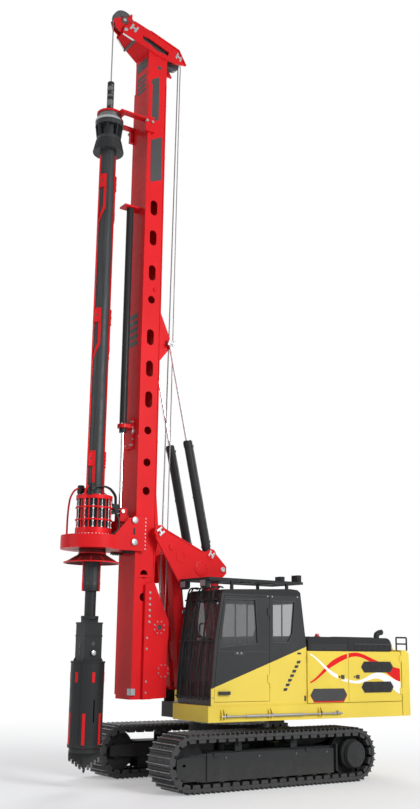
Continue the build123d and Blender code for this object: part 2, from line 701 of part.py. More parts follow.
# Support that the parallelogram carries
cheek_outline = [(1582, 3831), (1536, 3819), (778, 3493), (cylinder_foot[0] - 30, 3530), (345, 3280),
                 (345, 3170), (422, 3100), (1245, 3009), (1678, 3653), (1690, 3760)]
web_outline = [(cylinder_foot[0] + 30, 3530), (cylinder_foot[0] - 30, 3530), (345, 3280), (345, 3170),
               (422, 3100), (930, 3044), (1040, 3250), (1040, 3320)]
with BuildPart() as support:
    for side in (1, -1):
        cheek = (side * cheek_inner, side * cheek_outer)
        web = (side * web_inner, side * web_outer)
        plate(cheek_outline, cheek)
        barrel(mast_pivot, 90, cheek)
        barrel(cylinder_foot, 80, cheek)
        barrel((1382, 3533), 56, (side * cheek_outer, side * (cheek_outer + 10)))
        plate(web_outline, web)
        barrel(cylinder_foot, 80, web)
        barrel(link_head, 85, web)
        barrel(cylinder_foot, small_pin, (side * web_inner, side * cheek_outer))
        barrel(arm_head, 75, (side * (arm_outer + run_gap), side * cheek_outer))
        barrel(arm_head, large_pin, (side * (arm_inner + 20), side * cheek_outer))
        barrel(mast_pivot, large_pin, (side * 250, side * (cheek_outer + 12)))
    barrel(beam_tube, beam_tube_radius, (-cheek_outer - 5, cheek_outer + 5))
    barrel(link_head, small_pin, (-cheek_outer - 5, cheek_outer + 5))
support.part.label = "support"
export_step(support.part, "parts/support.step")

cylinder_span = math.hypot(cylinder_eye[0] - cylinder_foot[0], cylinder_eye[1] - cylinder_foot[1])
mast_barrel_length = 1870.0
mast_rod_length = 2000.0
with BuildPart() as mast_barrels:
    for side in (1, -1):
        y = side * cylinder_y
        gland = between(cylinder_foot, cylinder_eye, mast_barrel_length)
        rod(between(cylinder_foot, cylinder_eye, 60), gland, y, 69)
        rod(between(cylinder_foot, cylinder_eye, 110), gland, y, 50, mode=Mode.SUBTRACT)
        low = between(cylinder_foot, cylinder_eye, mast_barrel_length - 80)
        rod(low, gland, y, 60)
        rod(low, gland, y, 32 + pin_fit, mode=Mode.SUBTRACT)
        barrel(cylinder_foot, 76, (y - 40, y + 40))
        barrel(cylinder_foot, small_pin + pin_fit, (y - 41, y + 41), mode=Mode.SUBTRACT)
mast_barrels.part.label = "mast_barrels"
export_step(mast_barrels.part, "parts/mast_barrels.step")

with BuildPart() as mast_rods:
    for side in (1, -1):
        y = side * cylinder_y
        piston = between(cylinder_foot, cylinder_eye, cylinder_span - mast_rod_length)
        rod(piston, cylinder_eye, y, 32)
        rod(piston, between(cylinder_foot, cylinder_eye, cylinder_span - mast_rod_length + 70), y, 50 - pin_fit)
        barrel(cylinder_eye, 55, (y - 35, y + 35))
mast_rods.part.label = "mast_rods"
export_step(mast_rods.part, "parts/mast_rods.step")

# Mast box with holes through its sides: height of the centre, half length between the round ends
mast_holes = [(9218, 70), (8675, 70), (8052, 70), (7578, 0), (6933, 70), (6398, 70), (5881, 70),
              (5371, 0), (4853, 0), (4396, 0), (3099, 0), (2751, 0)]
mast_middle = (mast_rear + mast_front) / 2
with BuildPart() as mast:
    block((mast_rear, mast_front), (-mast_half_width, mast_half_width), (mast_bottom, mast_top))
    inner = mast_half_width - mast_wall
    block((mast_rear + mast_wall, mast_front - mast_wall), (-inner, inner), (mast_bottom, mast_top),
          mode=Mode.SUBTRACT)
    for z, half in mast_holes:
        if half:
            link((mast_middle, z - half), (mast_middle, z + half), hole_radius,
                 (-mast_half_width - 1, mast_half_width + 1), mode=Mode.SUBTRACT)
        else:
            barrel((mast_middle, z), hole_radius, (-mast_half_width - 1, mast_half_width + 1), mode=Mode.SUBTRACT)
    block((mast_rear - 1, mast_rear + mast_wall + 1), (-inner, inner), (1400, 2560), mode=Mode.SUBTRACT)
    for side in (1, -1):
        face = side * mast_half_width
        block((rail_rear, mast_front), (face, side * rail_outer), (1300, 11500))
        plate([(mast_rear, 4400), (1545, 3860), (1530, 3760), (1545, 3660), (mast_rear, 3300)],
              (side * 190, face))
        barrel(mast_pivot, 80, (side * 190, side * (cheek_inner - run_gap)))
        barrel(mast_pivot, large_pin + pin_fit, (side * 240, side * cheek_inner), mode=Mode.SUBTRACT)
        plate([(mast_rear, 7392), (1385, 6930), (1375, 6880), (1390, 6825), (mast_rear, 6561)],
              (side * 190, face))
    block((mast_rear, mast_front), (-inner, inner), (mast_bottom, mast_bottom + 20))
    block((mast_front, 2010), (-100, 100), (5070, 5570))
    block((2010, crowd_x), (-90, 90), (5400, 5460))
    post((crowd_x, 0), 90, (5400, 5460))
    post((crowd_x, 0), crowd_radius + seat_gap, (5399, 5461), mode=Mode.SUBTRACT)
    block((mast_front, 2267), (-100, 100), (crowd_top + seat_gap, crowd_top + 30))
mast.part.label = "mast"
export_step(mast.part, "parts/mast.step")

# Head: cheeks in line with the mast's sides that draw together in front of it, towards the sheave
head_outline = [(2240, 12650), (1970, 12520), (1374, 12357), (1220, 12102), (1430, 12065), (1867, 12105), (2262, 12280),
                (2448, 12396), (2420, 12510)]
head_slot = [(2103, 12398), (1580, 12240), (1600, 12160), (1832, 12186), (2091, 12315)]
bracket_outline = [(2155, 12505), (2155, 12580), (2235, 12660), (2235, 12840), (2262, 12846), (2320, 12750),
                   (2514, 12680), (2600, 12620), (2560, 12480), (2440, 12400), (2300, 12430)]
chin_outline = [(1960, 12150), (2262, 12280), (2430, 12385), (2430, 12399), (2255, 12290), (1960, 12162)]
cheek_plate = 25.0
head_half_width = 250.0
nose_half_width = 110.0
nose_x = 2470


def head_plan(inset):
    """Outline of the head seen from above, drawn in by a distance."""
    wide, narrow = head_half_width - inset, nose_half_width - inset
    return [(1190 - inset, wide), (mast_front, wide), (nose_x + inset, narrow), (nose_x + inset, -narrow),
            (mast_front, -wide), (1190 - inset, -wide)]


with BuildPart() as chin:
    plate(chin_outline, (-head_half_width, head_half_width))
    slab(head_plan(0), (12000, 12700), mode=Mode.INTERSECT)

with BuildPart() as mast_head:
    plate(head_outline, (-head_half_width, head_half_width))
    slab(head_plan(0), (12000, 12700), mode=Mode.INTERSECT)
    slab(head_plan(cheek_plate), (11999, 12701), mode=Mode.SUBTRACT)
    plate(head_slot, (-head_half_width - 1, head_half_width + 1), mode=Mode.SUBTRACT)
    add(chin.part)
    block((mast_rear, mast_front), (-mast_half_width, mast_half_width), (mast_top, 12060))
    block((mast_rear, mast_front), (-225, 225), (12060, 12180))
    for side in (1, -1):
        plate(bracket_outline, (side * 45, side * 60))
    barrel((2190, 12540), 28, (-175, 175))
    barrel((2395, 12440), 24, (-115, 115))
    barrel(front_sheave, 30, (-60, 60))
    barrel(rear_sheave, 30, (-225, 225))
mast_head.part.label = "mast_head"
export_step(mast_head.part, "parts/mast_head.step")

# name, centre, radius, bore half width
sheave_table = [("front_sheave", front_sheave, front_sheave_radius), ("rear_sheave", rear_sheave, rear_sheave_radius)]
for name, centre, radius in sheave_table:
    with BuildPart() as sheave:
        barrel(centre, radius, (-35, 35))
        barrel(centre, radius + 1, (-10, 10), mode=Mode.SUBTRACT)
        barrel(centre, radius - 25, (-10, 10))
        barrel(centre, 30 + pin_fit, (-36, 36), mode=Mode.SUBTRACT)
    sheave.part.label = name
    export_step(sheave.part, f"parts/{name}.step")

with BuildPart() as winch_housing:
    for side in (1, -1):
        pair = (side * (mast_half_width + seat_gap), side * 275)
        plate([(1370, 1260), (1780, mast_bottom), (1780, 2940), (1630, 3000), (1345, 2400), (1345, 2200),
               (1370, 2000)], pair)
        for centre in (main_drum, auxiliary_drum):
            barrel(centre, 112, (side * 275, side * 280))
            barrel(centre, 40 + pin_fit, (side * 200, side * 260), mode=Mode.SUBTRACT)
    block((1370, mast_rear - seat_gap), (-275, 275), (1260, 1290))
winch_housing.part.label = "winch_housing"
export_step(winch_housing.part, "parts/winch_housing.step")

# name, centre, drum radius, flange radius
drum_table = [("main_winch_drum", main_drum, 120, 165), ("auxiliary_winch_drum", auxiliary_drum, 70, 105)]
for name, centre, radius, flange in drum_table:
    with BuildPart() as drum:
        barrel(centre, radius, (-170, 170))
        for side in (1, -1):
            barrel(centre, flange, (side * 170, side * 185))
        barrel(centre, 40, (-255, 255))
    drum.part.label = name
    export_step(drum.part, f"parts/{name}.step")

# Crowd cylinder
with BuildPart() as crowd_barrel:
    post((crowd_x, 0), crowd_radius, (crowd_bottom, crowd_top))
    post((crowd_x, 0), 45, (crowd_bottom, crowd_top - 60), mode=Mode.SUBTRACT)
    post((crowd_x, 0), 50, (crowd_bottom, crowd_bottom + 70))
    post((crowd_x, 0), crowd_rod_radius + pin_fit, (crowd_bottom, crowd_bottom + 70), mode=Mode.SUBTRACT)
crowd_barrel.part.label = "crowd_barrel"
export_step(crowd_barrel.part, "parts/crowd_barrel.step")


def rail_shoes(z, reach):
    """Pair of channel shoes round the mast's rails, reaching forward to x."""
    for side in (1, -1):
        outer = (side * (rail_outer + seat_gap), side * 295)
        block((1860, reach), outer, z)
        block((1860, rail_rear - 7), (side * (mast_half_width + 7), side * 295), z)
        block((mast_front + 7, reach), (side * (mast_half_width + 7), side * 295), z)


def half_ring(radius, inner, z, mode=Mode.ADD):
    """Ring round the kelly's axis, cut off behind x = 2450."""
    with BuildSketch(Plane.XY.offset(min(z))) as face:
        with Locations((kelly_x, 0)):
            Circle(radius)
            Circle(inner, mode=Mode.SUBTRACT)
        with Locations((2450 - 500, 0)):
            Rectangle(1000, 2000, mode=Mode.SUBTRACT)
    extrude(face.sketch, amount=abs(z[1] - z[0]), mode=mode)


# Rotary drive
carriage_plate = [(2121, 3937), (1886, 3978), (1818, 3980), (1818, drive_bottom), (2450, drive_bottom),
                  (2450, drive_plate_top), (2381, 3648)]
with BuildPart() as carriage:
    rail_shoes((drive_bottom, 3980), 2030)
    for side in (1, -1):
        plate(carriage_plate, (side * 295, side * 320))
        for z in (3566, 3904):
            barrel((2034, z), 50, (side * 320, side * 335))
    block((2000, 2040), (-295, 295), (drive_bottom, 3900))
    block((2040, 2450), (-295, 295), (drive_bottom, drive_bottom + 80))
    post((kelly_x, 0), gearbox_radius + seat_gap, (drive_bottom - 1, drive_bottom + 81), mode=Mode.SUBTRACT)
    for side in (1, -1):
        block((2040, crowd_x + 45), (side * 65, side * 90), (3900, 4110))
        block((2000, 2040), (side * 65, side * 90), (3900, 4000))
    barrel((crowd_x, crowd_eye), 25, (-95, 95))
carriage.part.label = "carriage"
export_step(carriage.part, "parts/carriage.step")

with BuildPart() as drive_guard:
    half_ring(guard_radius, guard_radius - 12, (drive_bottom, drive_plate_top))
    half_ring(guard_radius - 12, gearbox_radius + seat_gap, (drive_plate_top - 15, drive_plate_top))
    half_ring(guard_radius - 12, gearbox_radius + seat_gap, (drive_bottom, drive_bottom + 15))
drive_guard.part.label = "drive_guard"
export_step(drive_guard.part, "parts/drive_guard.step")

with BuildPart() as gearbox:
    post((kelly_x, 0), gearbox_radius, (drive_bottom, 3760))
    for z in (3870, 4060):
        post((kelly_x, 0), gearbox_radius, (z, z + 20))
    post((kelly_x, 0), gearbox_radius, (4200, gearbox_top))
    post((kelly_x, 0), 225, (3760, 4200))
    post((kelly_x, 0), sleeve_radius + pin_fit, (drive_bottom, gearbox_top), mode=Mode.SUBTRACT)
    for turn in range(0, 360, 30):
        angle = math.radians(turn + 15)
        post((kelly_x + 255 * math.cos(angle), 255 * math.sin(angle)), 12, (3760, 4200))
gearbox.part.label = "gearbox"
export_step(gearbox.part, "parts/gearbox.step")

with BuildPart() as drive_motors:
    for turn in (50, 310):
        angle = math.radians(turn)
        post((kelly_x + 232 * math.cos(angle), 232 * math.sin(angle)), 60 - 10, (gearbox_top, 4420))
drive_motors.part.label = "drive_motors"
export_step(drive_motors.part, "parts/drive_motors.step")

with BuildPart() as drive_sleeve:
    post((kelly_x, 0), 205, (3360, drive_bottom - run_gap))
    post((kelly_x, 0), sleeve_radius, (3360, 4150))
    with BuildSketch(Plane.XZ) as skirt:
        with BuildLine():
            Polyline((kelly_x + 185, 3370), (kelly_x + 205, 3370), (kelly_x + 428, 3237), (kelly_x + 408, 3237),
                     close=True)
        make_face()
    revolve(skirt.sketch, axis=Axis((kelly_x, 0, 0), (0, 0, 1)))
    post((kelly_x, 0), sleeve_bore, (3200, 4151), mode=Mode.SUBTRACT)
    for step in range(flange_bolts):
        angle = 2 * math.pi * step / flange_bolts
        place = (kelly_x + flange_circle / 2 * math.cos(angle), flange_circle / 2 * math.sin(angle))
        post(place, flange_hole_radius, (3359, 3360 + 50), mode=Mode.SUBTRACT)
drive_sleeve.part.label = "drive_sleeve"
export_step(drive_sleeve.part, "parts/drive_sleeve.step")

with BuildPart() as crowd_rod:
    post((crowd_x, 0), crowd_rod_radius, (crowd_eye, 7600))
    post((crowd_x, 0), 45 - pin_fit, (7540, 7600))
    barrel((crowd_x, crowd_eye), 50, (-55, 55))
    barrel((crowd_x, crowd_eye), 25 + seat_gap, (-56, 56), mode=Mode.SUBTRACT)
crowd_rod.part.label = "crowd_rod"
export_step(crowd_rod.part, "parts/crowd_rod.step")

# Kelly guide that slides on the mast
guide_z = (10780, 10810)
with BuildPart() as kelly_guide:
    rail_shoes((10560, 10840), 2030)
    for side in (1, -1):
        block((1977, 2480), (side * 165, side * 285), guide_z)
    post((kelly_x, 0), 215, guide_z)
    block((2380, 2500), (-285, 285), guide_z)
    post((kelly_x, 0), 80, (guide_z[0] - 1, guide_z[1] + 1), mode=Mode.SUBTRACT)
kelly_guide.part.label = "kelly_guide"
export_step(kelly_guide.part, "parts/kelly_guide.step")

with BuildPart() as swivel:
    post((kelly_x, 0), 195, (10690, guide_z[0] - seat_gap))
    post((kelly_x, 0), 55, (10690, 11410))
    post((kelly_x, 0), 80 - seat_gap, (10690, guide_z[1]))
    post((kelly_x, 0), small_pin + pin_fit, (10690, 10800), mode=Mode.SUBTRACT)
    post((kelly_x, 0), 20, (10800, 11410), mode=Mode.SUBTRACT)
swivel.part.label = "swivel"
export_step(swivel.part, "parts/swivel.step")

with BuildPart() as kelly_outer:
    post((kelly_x, 0), kelly_radius, (kelly_bottom, kelly_top))
    for turn in (rib_turn, rib_turn + 120, rib_turn + 240):
        angle = math.radians(turn)
        with BuildSketch(Plane(origin=(kelly_x, 0, kelly_bottom), x_dir=(math.cos(angle), math.sin(angle), 0),
                               z_dir=(0, 0, 1))) as rib:
            with Locations(((kelly_radius + kelly_rib) / 2 - 5, 0)):
                Rectangle(kelly_rib - kelly_radius + 10, kelly_rib_width)
        extrude(rib.sketch, amount=kelly_top - kelly_bottom)
        for z in lug_heights:
            fan = [(kelly_x + kelly_bore * math.cos(angle), kelly_bore * math.sin(angle))]
            fan += rounded((kelly_x, 0), kelly_lug, turn, turn + lug_sweep)
            fan += rounded((kelly_x, 0), kelly_bore + 5, turn + lug_sweep, turn)
            slab(fan[1:], (z, z + lug_length))
    post((kelly_x, 0), kelly_bore, (kelly_bottom, kelly_top), mode=Mode.SUBTRACT)
    with BuildSketch(Plane.XZ) as bell:
        with BuildLine():
            Polyline((kelly_x, kelly_top), (kelly_x + 256, kelly_top), (kelly_x + 200, 10350), (kelly_x + 140, 10350),
                     (kelly_x + 140, 10550), (kelly_x + 234, 10550), (kelly_x + 234, 10680), (kelly_x + 40, 10680),
                     (kelly_x + 40, 10790), (kelly_x, 10790), close=True)
        make_face()
    revolve(bell.sketch, axis=Axis((kelly_x, 0, 0), (0, 0, 1)))
kelly_outer.part.label = "kelly_outer"
export_step(kelly_outer.part, "parts/kelly_outer.step")

with BuildPart() as kelly_inner:
    post((kelly_x, 0), inner_radius, (socket_top + seat_gap, 9900))
    post((kelly_x, 0), inner_radius - 20, (2500, 9900), mode=Mode.SUBTRACT)
    post((kelly_x, 0), kelly_bore - pin_fit, (9700, 9850))
    post((kelly_x, 0), inner_radius - 20, (9700, 9850), mode=Mode.SUBTRACT)
    post((kelly_x, 0), 132, (2400, 2450))
    block((kelly_x - 95, kelly_x + 95), (-95, 95), (1850, 2400))
    barrel((kelly_x, 1912), 25 + seat_gap, (-100, 100), mode=Mode.SUBTRACT)
kelly_inner.part.label = "kelly_inner"
export_step(kelly_inner.part, "parts/kelly_inner.step")

hinge_y = -bucket_radius - 35
hinge_z = 604.0
with BuildPart() as bucket:
    post((kelly_x, 0), bucket_radius, (bucket_bottom, bucket_top))
    post((kelly_x, 0), bucket_radius - 20, (bucket_bottom, bucket_top - 35), mode=Mode.SUBTRACT)
    block((kelly_x - socket_half, kelly_x + socket_half), (-socket_half, socket_half), (bucket_top, socket_top))
    block((kelly_x - 95.3, kelly_x + 95.3), (-95.3, 95.3), (1840, socket_top), mode=Mode.SUBTRACT)
    barrel((kelly_x, 1912), 25 + seat_gap, (-150, 150), mode=Mode.SUBTRACT)
    block((kelly_x - 60, kelly_x + 60), (150, 300), (936, 1248), mode=Mode.SUBTRACT)
    for side in (1, -1):
        block((kelly_x + side * 60, kelly_x + side * 80), (hinge_y - 25, 15 - bucket_radius), (bucket_bottom + 1, 720))
    post((kelly_x, 0), bucket_radius - 20, (bucket_bottom, bucket_top - 35), mode=Mode.SUBTRACT)
    with BuildSketch(Plane.YZ.offset(kelly_x - 80)) as face:
        with Locations((hinge_y, hinge_z)):
            Circle(12)
    extrude(face.sketch, amount=160)
bucket.part.label = "bucket"
export_step(bucket.part, "parts/bucket.step")

with BuildPart() as kelly_pin:
    barrel((kelly_x, 1912), 25, (-175, 175))
kelly_pin.part.label = "kelly_pin"
export_step(kelly_pin.part, "parts/kelly_pin.step")

with BuildPart() as bucket_gate:
    post((kelly_x, 0), gate_radius, (510, bucket_bottom - run_gap))
    block((kelly_x - 50, kelly_x + 50), (hinge_y - 24, 60 - gate_radius), (510, 571))
    block((kelly_x - 50, kelly_x + 50), (hinge_y - 24, hinge_y + 24), (560, hinge_z))
    with BuildSketch(Plane.YZ.offset(kelly_x - 50)) as face:
        with Locations((hinge_y, hinge_z)):
            Circle(24)
    extrude(face.sketch, amount=100)
    for turn in (row_turn, row_turn + 180):
        angle = math.radians(turn)
        # distance from the axis, height of the cutting edge
        edge = [(-15, 520), (-15, teeth_tip + 25), (0, teeth_tip), (40, 330)]
        for reach in (80, 130, 180, 230):
            edge += [(reach, teeth_tip + 0.72 * reach), (reach + 5, teeth_tip + 0.72 * reach + 70)]
        edge += [(edge[-1][0], 520)]
        with BuildSketch(Plane(origin=(kelly_x, 0, 0), x_dir=(math.cos(angle), math.sin(angle), 0),
                               z_dir=(math.sin(angle), -math.cos(angle), 0))) as row:
            with BuildLine():
                Polyline(*edge, close=True)
            make_face()
        extrude(row.sketch, amount=40)
    post((kelly_x, 0), 40, (300, 515))
    with BuildSketch(Plane.YZ.offset(kelly_x - 51)) as face:
        with Locations((hinge_y, hinge_z)):
            Circle(12 + pin_fit)
    extrude(face.sketch, amount=102, mode=Mode.SUBTRACT)
bucket_gate.part.label = "bucket_gate"
export_step(bucket_gate.part, "parts/bucket_gate.step")
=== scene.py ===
import bpy
import bmesh
import json
import math
from mathutils import Matrix, Vector


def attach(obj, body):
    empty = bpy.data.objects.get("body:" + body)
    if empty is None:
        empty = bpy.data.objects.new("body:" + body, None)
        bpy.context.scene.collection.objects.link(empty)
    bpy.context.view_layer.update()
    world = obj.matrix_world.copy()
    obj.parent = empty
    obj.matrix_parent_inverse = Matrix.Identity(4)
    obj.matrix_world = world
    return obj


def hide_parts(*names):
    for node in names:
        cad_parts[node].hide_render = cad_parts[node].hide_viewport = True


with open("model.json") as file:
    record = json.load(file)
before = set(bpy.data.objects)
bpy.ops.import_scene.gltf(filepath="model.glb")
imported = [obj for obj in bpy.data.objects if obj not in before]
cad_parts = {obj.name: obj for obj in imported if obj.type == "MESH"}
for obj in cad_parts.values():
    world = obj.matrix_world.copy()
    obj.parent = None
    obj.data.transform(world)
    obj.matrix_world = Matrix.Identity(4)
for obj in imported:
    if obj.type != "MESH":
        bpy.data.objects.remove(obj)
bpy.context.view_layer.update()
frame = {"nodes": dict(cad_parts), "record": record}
nodes = frame["nodes"]
slotOf = {part["node"]: part["material_slot"] for part in frame["record"]["subparts"]}

cameraPlace = {
    "location": (9.691, 13.697, 2.003),
    "yaw": -2.1647,
    "pitch": 0.2395,
    "roll": 0.0126,
    "lens": 44.39,
    "sensor": 36.0,
    "reach": 200,
}


def addObject(name, data):
    item = bpy.data.objects.new(name, data)
    bpy.context.scene.collection.objects.link(item)
    return item


def placeCamera(settings):
    yaw, pitch, roll = settings["yaw"], settings["pitch"], settings["roll"]
    forward = Vector((math.cos(pitch) * math.cos(yaw), math.cos(pitch) * math.sin(yaw), math.sin(pitch)))
    right = forward.cross(Vector((0, 0, 1))).normalized()
    turnedRight = right * math.cos(roll) + right.cross(forward) * math.sin(roll)
    turn = Matrix((turnedRight, turnedRight.cross(forward), -forward)).transposed().to_4x4()
    data = bpy.data.cameras.new("camera")
    data.lens, data.sensor_width, data.clip_end = settings["lens"], settings["sensor"], settings["reach"]
    camera = addObject("camera", data)
    camera.matrix_world = Matrix.Translation(settings["location"]) @ turn
    bpy.context.scene.camera = camera


roomLight = {
    "worldStrength": 0.40,
    "worldTint": (0.93, 0.96, 1.0, 1),
    "floorTint": (0.84, 0.84, 0.85, 1),
    "floorHalf": 60,
    # the floor turns white between these distances from the middle, and this much near the object
    "floorFade": (4.0, 13.0),
    "floorNear": 0.30,
    # name: place, target, size, power, tint
    "lamps": {
        "keyLamp": ((-1.5, 15, 9), (0.3, 0, 3.5), 6, 1850, (1, 1, 1)),
        "fillLamp": ((14, -2, 7), (1, 0, 4), 7, 330, (0.97, 0.98, 1)),
        "backLamp": ((-10, -11, 10), (0, 0, 4), 7, 1300, (1, 1, 1)),
    },
}


def calc(tree, operation, first, second=None, third=None):
    node = tree.nodes.new("ShaderNodeMath")
    node.operation = operation
    for socket, value in zip(node.inputs, (first, second, third)):
        if isinstance(value, (int, float)):
            socket.default_value = value
        elif value is not None:
            tree.links.new(value, socket)
    return node.outputs[0]


def reachOf(tree, first, second):
    # length of the line with these two sides
    squares = [calc(tree, "MULTIPLY", value, value) for value in (first, second)]
    return calc(tree, "SQRT", calc(tree, "ADD", *squares))


def placeXYZ(tree):
    place = tree.nodes.new("ShaderNodeTexCoord")
    split = tree.nodes.new("ShaderNodeSeparateXYZ")
    tree.links.new(place.outputs["Object"], split.inputs[0])
    return split.outputs


def spread(tree, value, low, high, fromLow=0.3, fromHigh=0.7):
    node = tree.nodes.new("ShaderNodeMapRange")
    for socket, limit in (("From Min", fromLow), ("From Max", fromHigh), ("To Min", low), ("To Max", high)):
        node.inputs[socket].default_value = limit
    tree.links.new(value, node.inputs["Value"])
    return node.outputs[0]


def seenWhite(tree, surface, white, output, amount=None):
    # white wherever the camera, a gloss or a pane looks, and the given surface for everything else
    path = tree.nodes.new("ShaderNodeLightPath")
    bare = calc(tree, "MAXIMUM", path.outputs["Is Camera Ray"], path.outputs["Is Transmission Ray"])
    seen = calc(tree, "MAXIMUM", bare, path.outputs["Is Glossy Ray"])
    if amount is not None:
        seen = calc(tree, "MULTIPLY", seen, amount)
    mix = tree.nodes.new("ShaderNodeMixShader")
    for source, socket in zip((seen, surface, white), mix.inputs):
        tree.links.new(source, socket)
    tree.links.new(mix.outputs[0], output.inputs["Surface"])


def newMaterial(name, values):
    # values go straight on the shader's sockets
    material = bpy.data.materials.new(name)
    material.use_nodes = True
    shader = material.node_tree.nodes["Principled BSDF"]
    for socket, value in values.items():
        shader.inputs[socket].default_value = value
    return material, material.node_tree, shader


def makeRoom(settings):
    world = bpy.data.worlds.new("studio")
    bpy.context.scene.world = world
    world.use_nodes = True
    tree = world.node_tree
    tree.nodes.clear()
    lighting, seen = (tree.nodes.new("ShaderNodeBackground") for step in range(2))
    lighting.inputs["Color"].default_value = settings["worldTint"]
    lighting.inputs["Strength"].default_value = settings["worldStrength"]
    seen.inputs["Color"].default_value = (1, 1, 1, 1)
    seenWhite(tree, lighting.outputs[0], seen.outputs[0], tree.nodes.new("ShaderNodeOutputWorld"))

    half = settings["floorHalf"]
    mesh = bpy.data.meshes.new("floor")
    mesh.from_pydata([(-half, -half, 0), (half, -half, 0), (half, half, 0), (-half, half, 0)], [], [(0, 1, 2, 3)])
    values = {"Base Color": settings["floorTint"], "Roughness": 0.8, "Specular IOR Level": 0.15}
    material, tree, shader = newMaterial("paleFloor", values)
    x, y, z = placeXYZ(tree)
    amount = spread(tree, reachOf(tree, x, y), settings["floorNear"], 1.0, *settings["floorFade"])
    white = tree.nodes.new("ShaderNodeEmission")
    seenWhite(tree, shader.outputs[0], white.outputs[0], tree.nodes["Material Output"], amount)
    mesh.materials.append(material)
    floor = addObject("floor", mesh)

    for name, (place, target, size, power, tint) in settings["lamps"].items():
        data = bpy.data.lights.new(name, "AREA")
        data.size, data.energy, data.color = size, power, tint
        lamp = addObject(name, data)
        lamp.location = place
        lamp.rotation_euler = (Vector(target) - Vector(place)).to_track_quat("-Z", "Y").to_euler()


bpy.context.scene.view_settings.view_transform = "Standard"
placeCamera(cameraPlace)
makeRoom(roomLight)
print("camera and room done")


# small helpers that wire one material
def noiseOf(tree, scale, detail=3.0, stretch=(1, 1, 1)):
    place = tree.nodes.new("ShaderNodeTexCoord")
    mapping = tree.nodes.new("ShaderNodeMapping")
    mapping.inputs["Scale"].default_value = stretch
    noise = tree.nodes.new("ShaderNodeTexNoise")
    for socket, value in (("Scale", scale), ("Detail", detail), ("Roughness", 0.55)):
        noise.inputs[socket].default_value = value
    tree.links.new(place.outputs["Object"], mapping.inputs[0])
    tree.links.new(mapping.outputs[0], noise.inputs["Vector"])
    return noise.outputs[0]


def waveOf(tree, direction, scale):
    place = tree.nodes.new("ShaderNodeTexCoord")
    wave = tree.nodes.new("ShaderNodeTexWave")
    wave.bands_direction = direction
    wave.inputs["Scale"].default_value = scale
    tree.links.new(place.outputs["Object"], wave.inputs["Vector"])
    return wave.outputs["Fac"]


def mixColour(tree, factor, first, second):
    node = tree.nodes.new("ShaderNodeMix")
    node.data_type = "RGBA"
    tree.links.new(factor, node.inputs["Factor"])
    for socket, value in ((node.inputs[6], first), (node.inputs[7], second)):
        if isinstance(value, tuple):
            socket.default_value = (*value, 1)
        else:
            tree.links.new(value, socket)
    return node.outputs[2]


def scaled(colour, factor):
    return tuple(min(1.0, channel * factor) for channel in colour)


def paintColour(tree, colour, swing=0.06):
    # a coat that is a little lighter and darker over the panels
    patches = spread(tree, noiseOf(tree, 1.3, 2.0), 0, 1)
    return mixColour(tree, patches, scaled(colour, 1 - swing), scaled(colour, 1 + swing))


def dustOn(tree, colour, height, amount):
    # pale dust that thins out with height above the ground
    low = spread(tree, placeXYZ(tree)[2], amount, 0, 0, height)
    patchy = spread(tree, noiseOf(tree, 9, 4.0), 0.2, 1.0)
    return mixColour(tree, calc(tree, "MULTIPLY", low, patchy), colour, coats["dust"])


def roughly(tree, middle, swing):
    return spread(tree, noiseOf(tree, 6.0), middle - swing, middle + swing)


finishes = {}


def finishMaterial(parts, colour, rough, height, depth):
    # colour, roughness and bump go to the shader, and the material is kept under its name
    material, tree, shader = parts
    tree.links.new(colour, shader.inputs["Base Color"])
    if rough is not None:
        tree.links.new(rough, shader.inputs["Roughness"])
    if height is not None:
        bump = tree.nodes.new("ShaderNodeBump")
        bump.inputs["Strength"].default_value = 1.0
        bump.inputs["Distance"].default_value = depth
        tree.links.new(height, bump.inputs["Height"])
        tree.links.new(bump.outputs[0], shader.inputs["Normal"])
    finishes[material.name] = material


coats = {
    "red": (0.68, 0.014, 0.018),
    "yellow": (0.75, 0.575, 0.085),
    "black": (0.028, 0.029, 0.031),
    "kelly": (0.034, 0.036, 0.037),
    "chassis": (0.034, 0.035, 0.036),
    "track": (0.030, 0.030, 0.031),
    "wornSteel": (0.34, 0.34, 0.35),
    "dust": (0.30, 0.27, 0.23),
}
paints = {
    # colour, roughness, coat, peel, height and amount of dust, metal
    "redPaint": (coats["red"], 0.38, 0.06),
    "yellowPaint": (coats["yellow"], 0.38, 0.06),
    "blackPaint": (coats["black"], 0.42, 0.06),
    "castYellow": (coats["yellow"], 0.45, 0.04, 0.0006),
    "chassisPaint": (coats["chassis"], 0.5, 0.04, 0.0002, (0.5, 0.12)),
    "whitePaint": ((0.86, 0.87, 0.88), 0.34, 0.35),
    "engineCoat": ((0.20, 0.21, 0.22), 0.5, 0.0, 0.001, None, 0.4),
    "castGrey": ((0.10, 0.10, 0.105), 0.5, 0.1, 0.0005),
    "toolCoat": (scaled(coats["kelly"], 0.8), 0.45, 0.1, 0.0006, (0.7, 0.2), 0.2),
}
steels = {
    # colour, roughness, stretch and scale of the grain
    "paleSteel": ((0.36, 0.37, 0.38), 0.4),
    "brightSteel": ((0.40, 0.41, 0.42), 0.34),
    "darkSteel": ((0.16, 0.16, 0.165), 0.4),
    "chrome": ((0.66, 0.67, 0.69), 0.14, (1, 1, 0.1), 90),
}
plastics = {
    # colour, roughness, grain, depth
    "blackPlastic": ((0.03, 0.03, 0.032), 0.55, 700, 0.00008),
    "rubber": ((0.016, 0.016, 0.017), 0.6, 400, 0.00008),
    "lampRed": ((0.55, 0.01, 0.01), 0.2, 60, 0.0002),
    "lampClear": ((0.22, 0.23, 0.24), 0.12, 90, 0.0004),
}
twoTones = {
    # dark round bodies that are red beyond a radius and below a height: radius, height, dark colour; the sleeve's
    # dark red is painted shade
    "kellyCoat": (0.1385, 10.0, coats["kelly"]),
    "gearCoat": (0.262, 10.0, coats["black"]),
    # the sleeve's skirt and neck inside the red rim are painted dark red: painted shade on the skirt's underside
    "sleeveCoat": (0.408, 10.0, (0.09, 0.011, 0.012)),
}
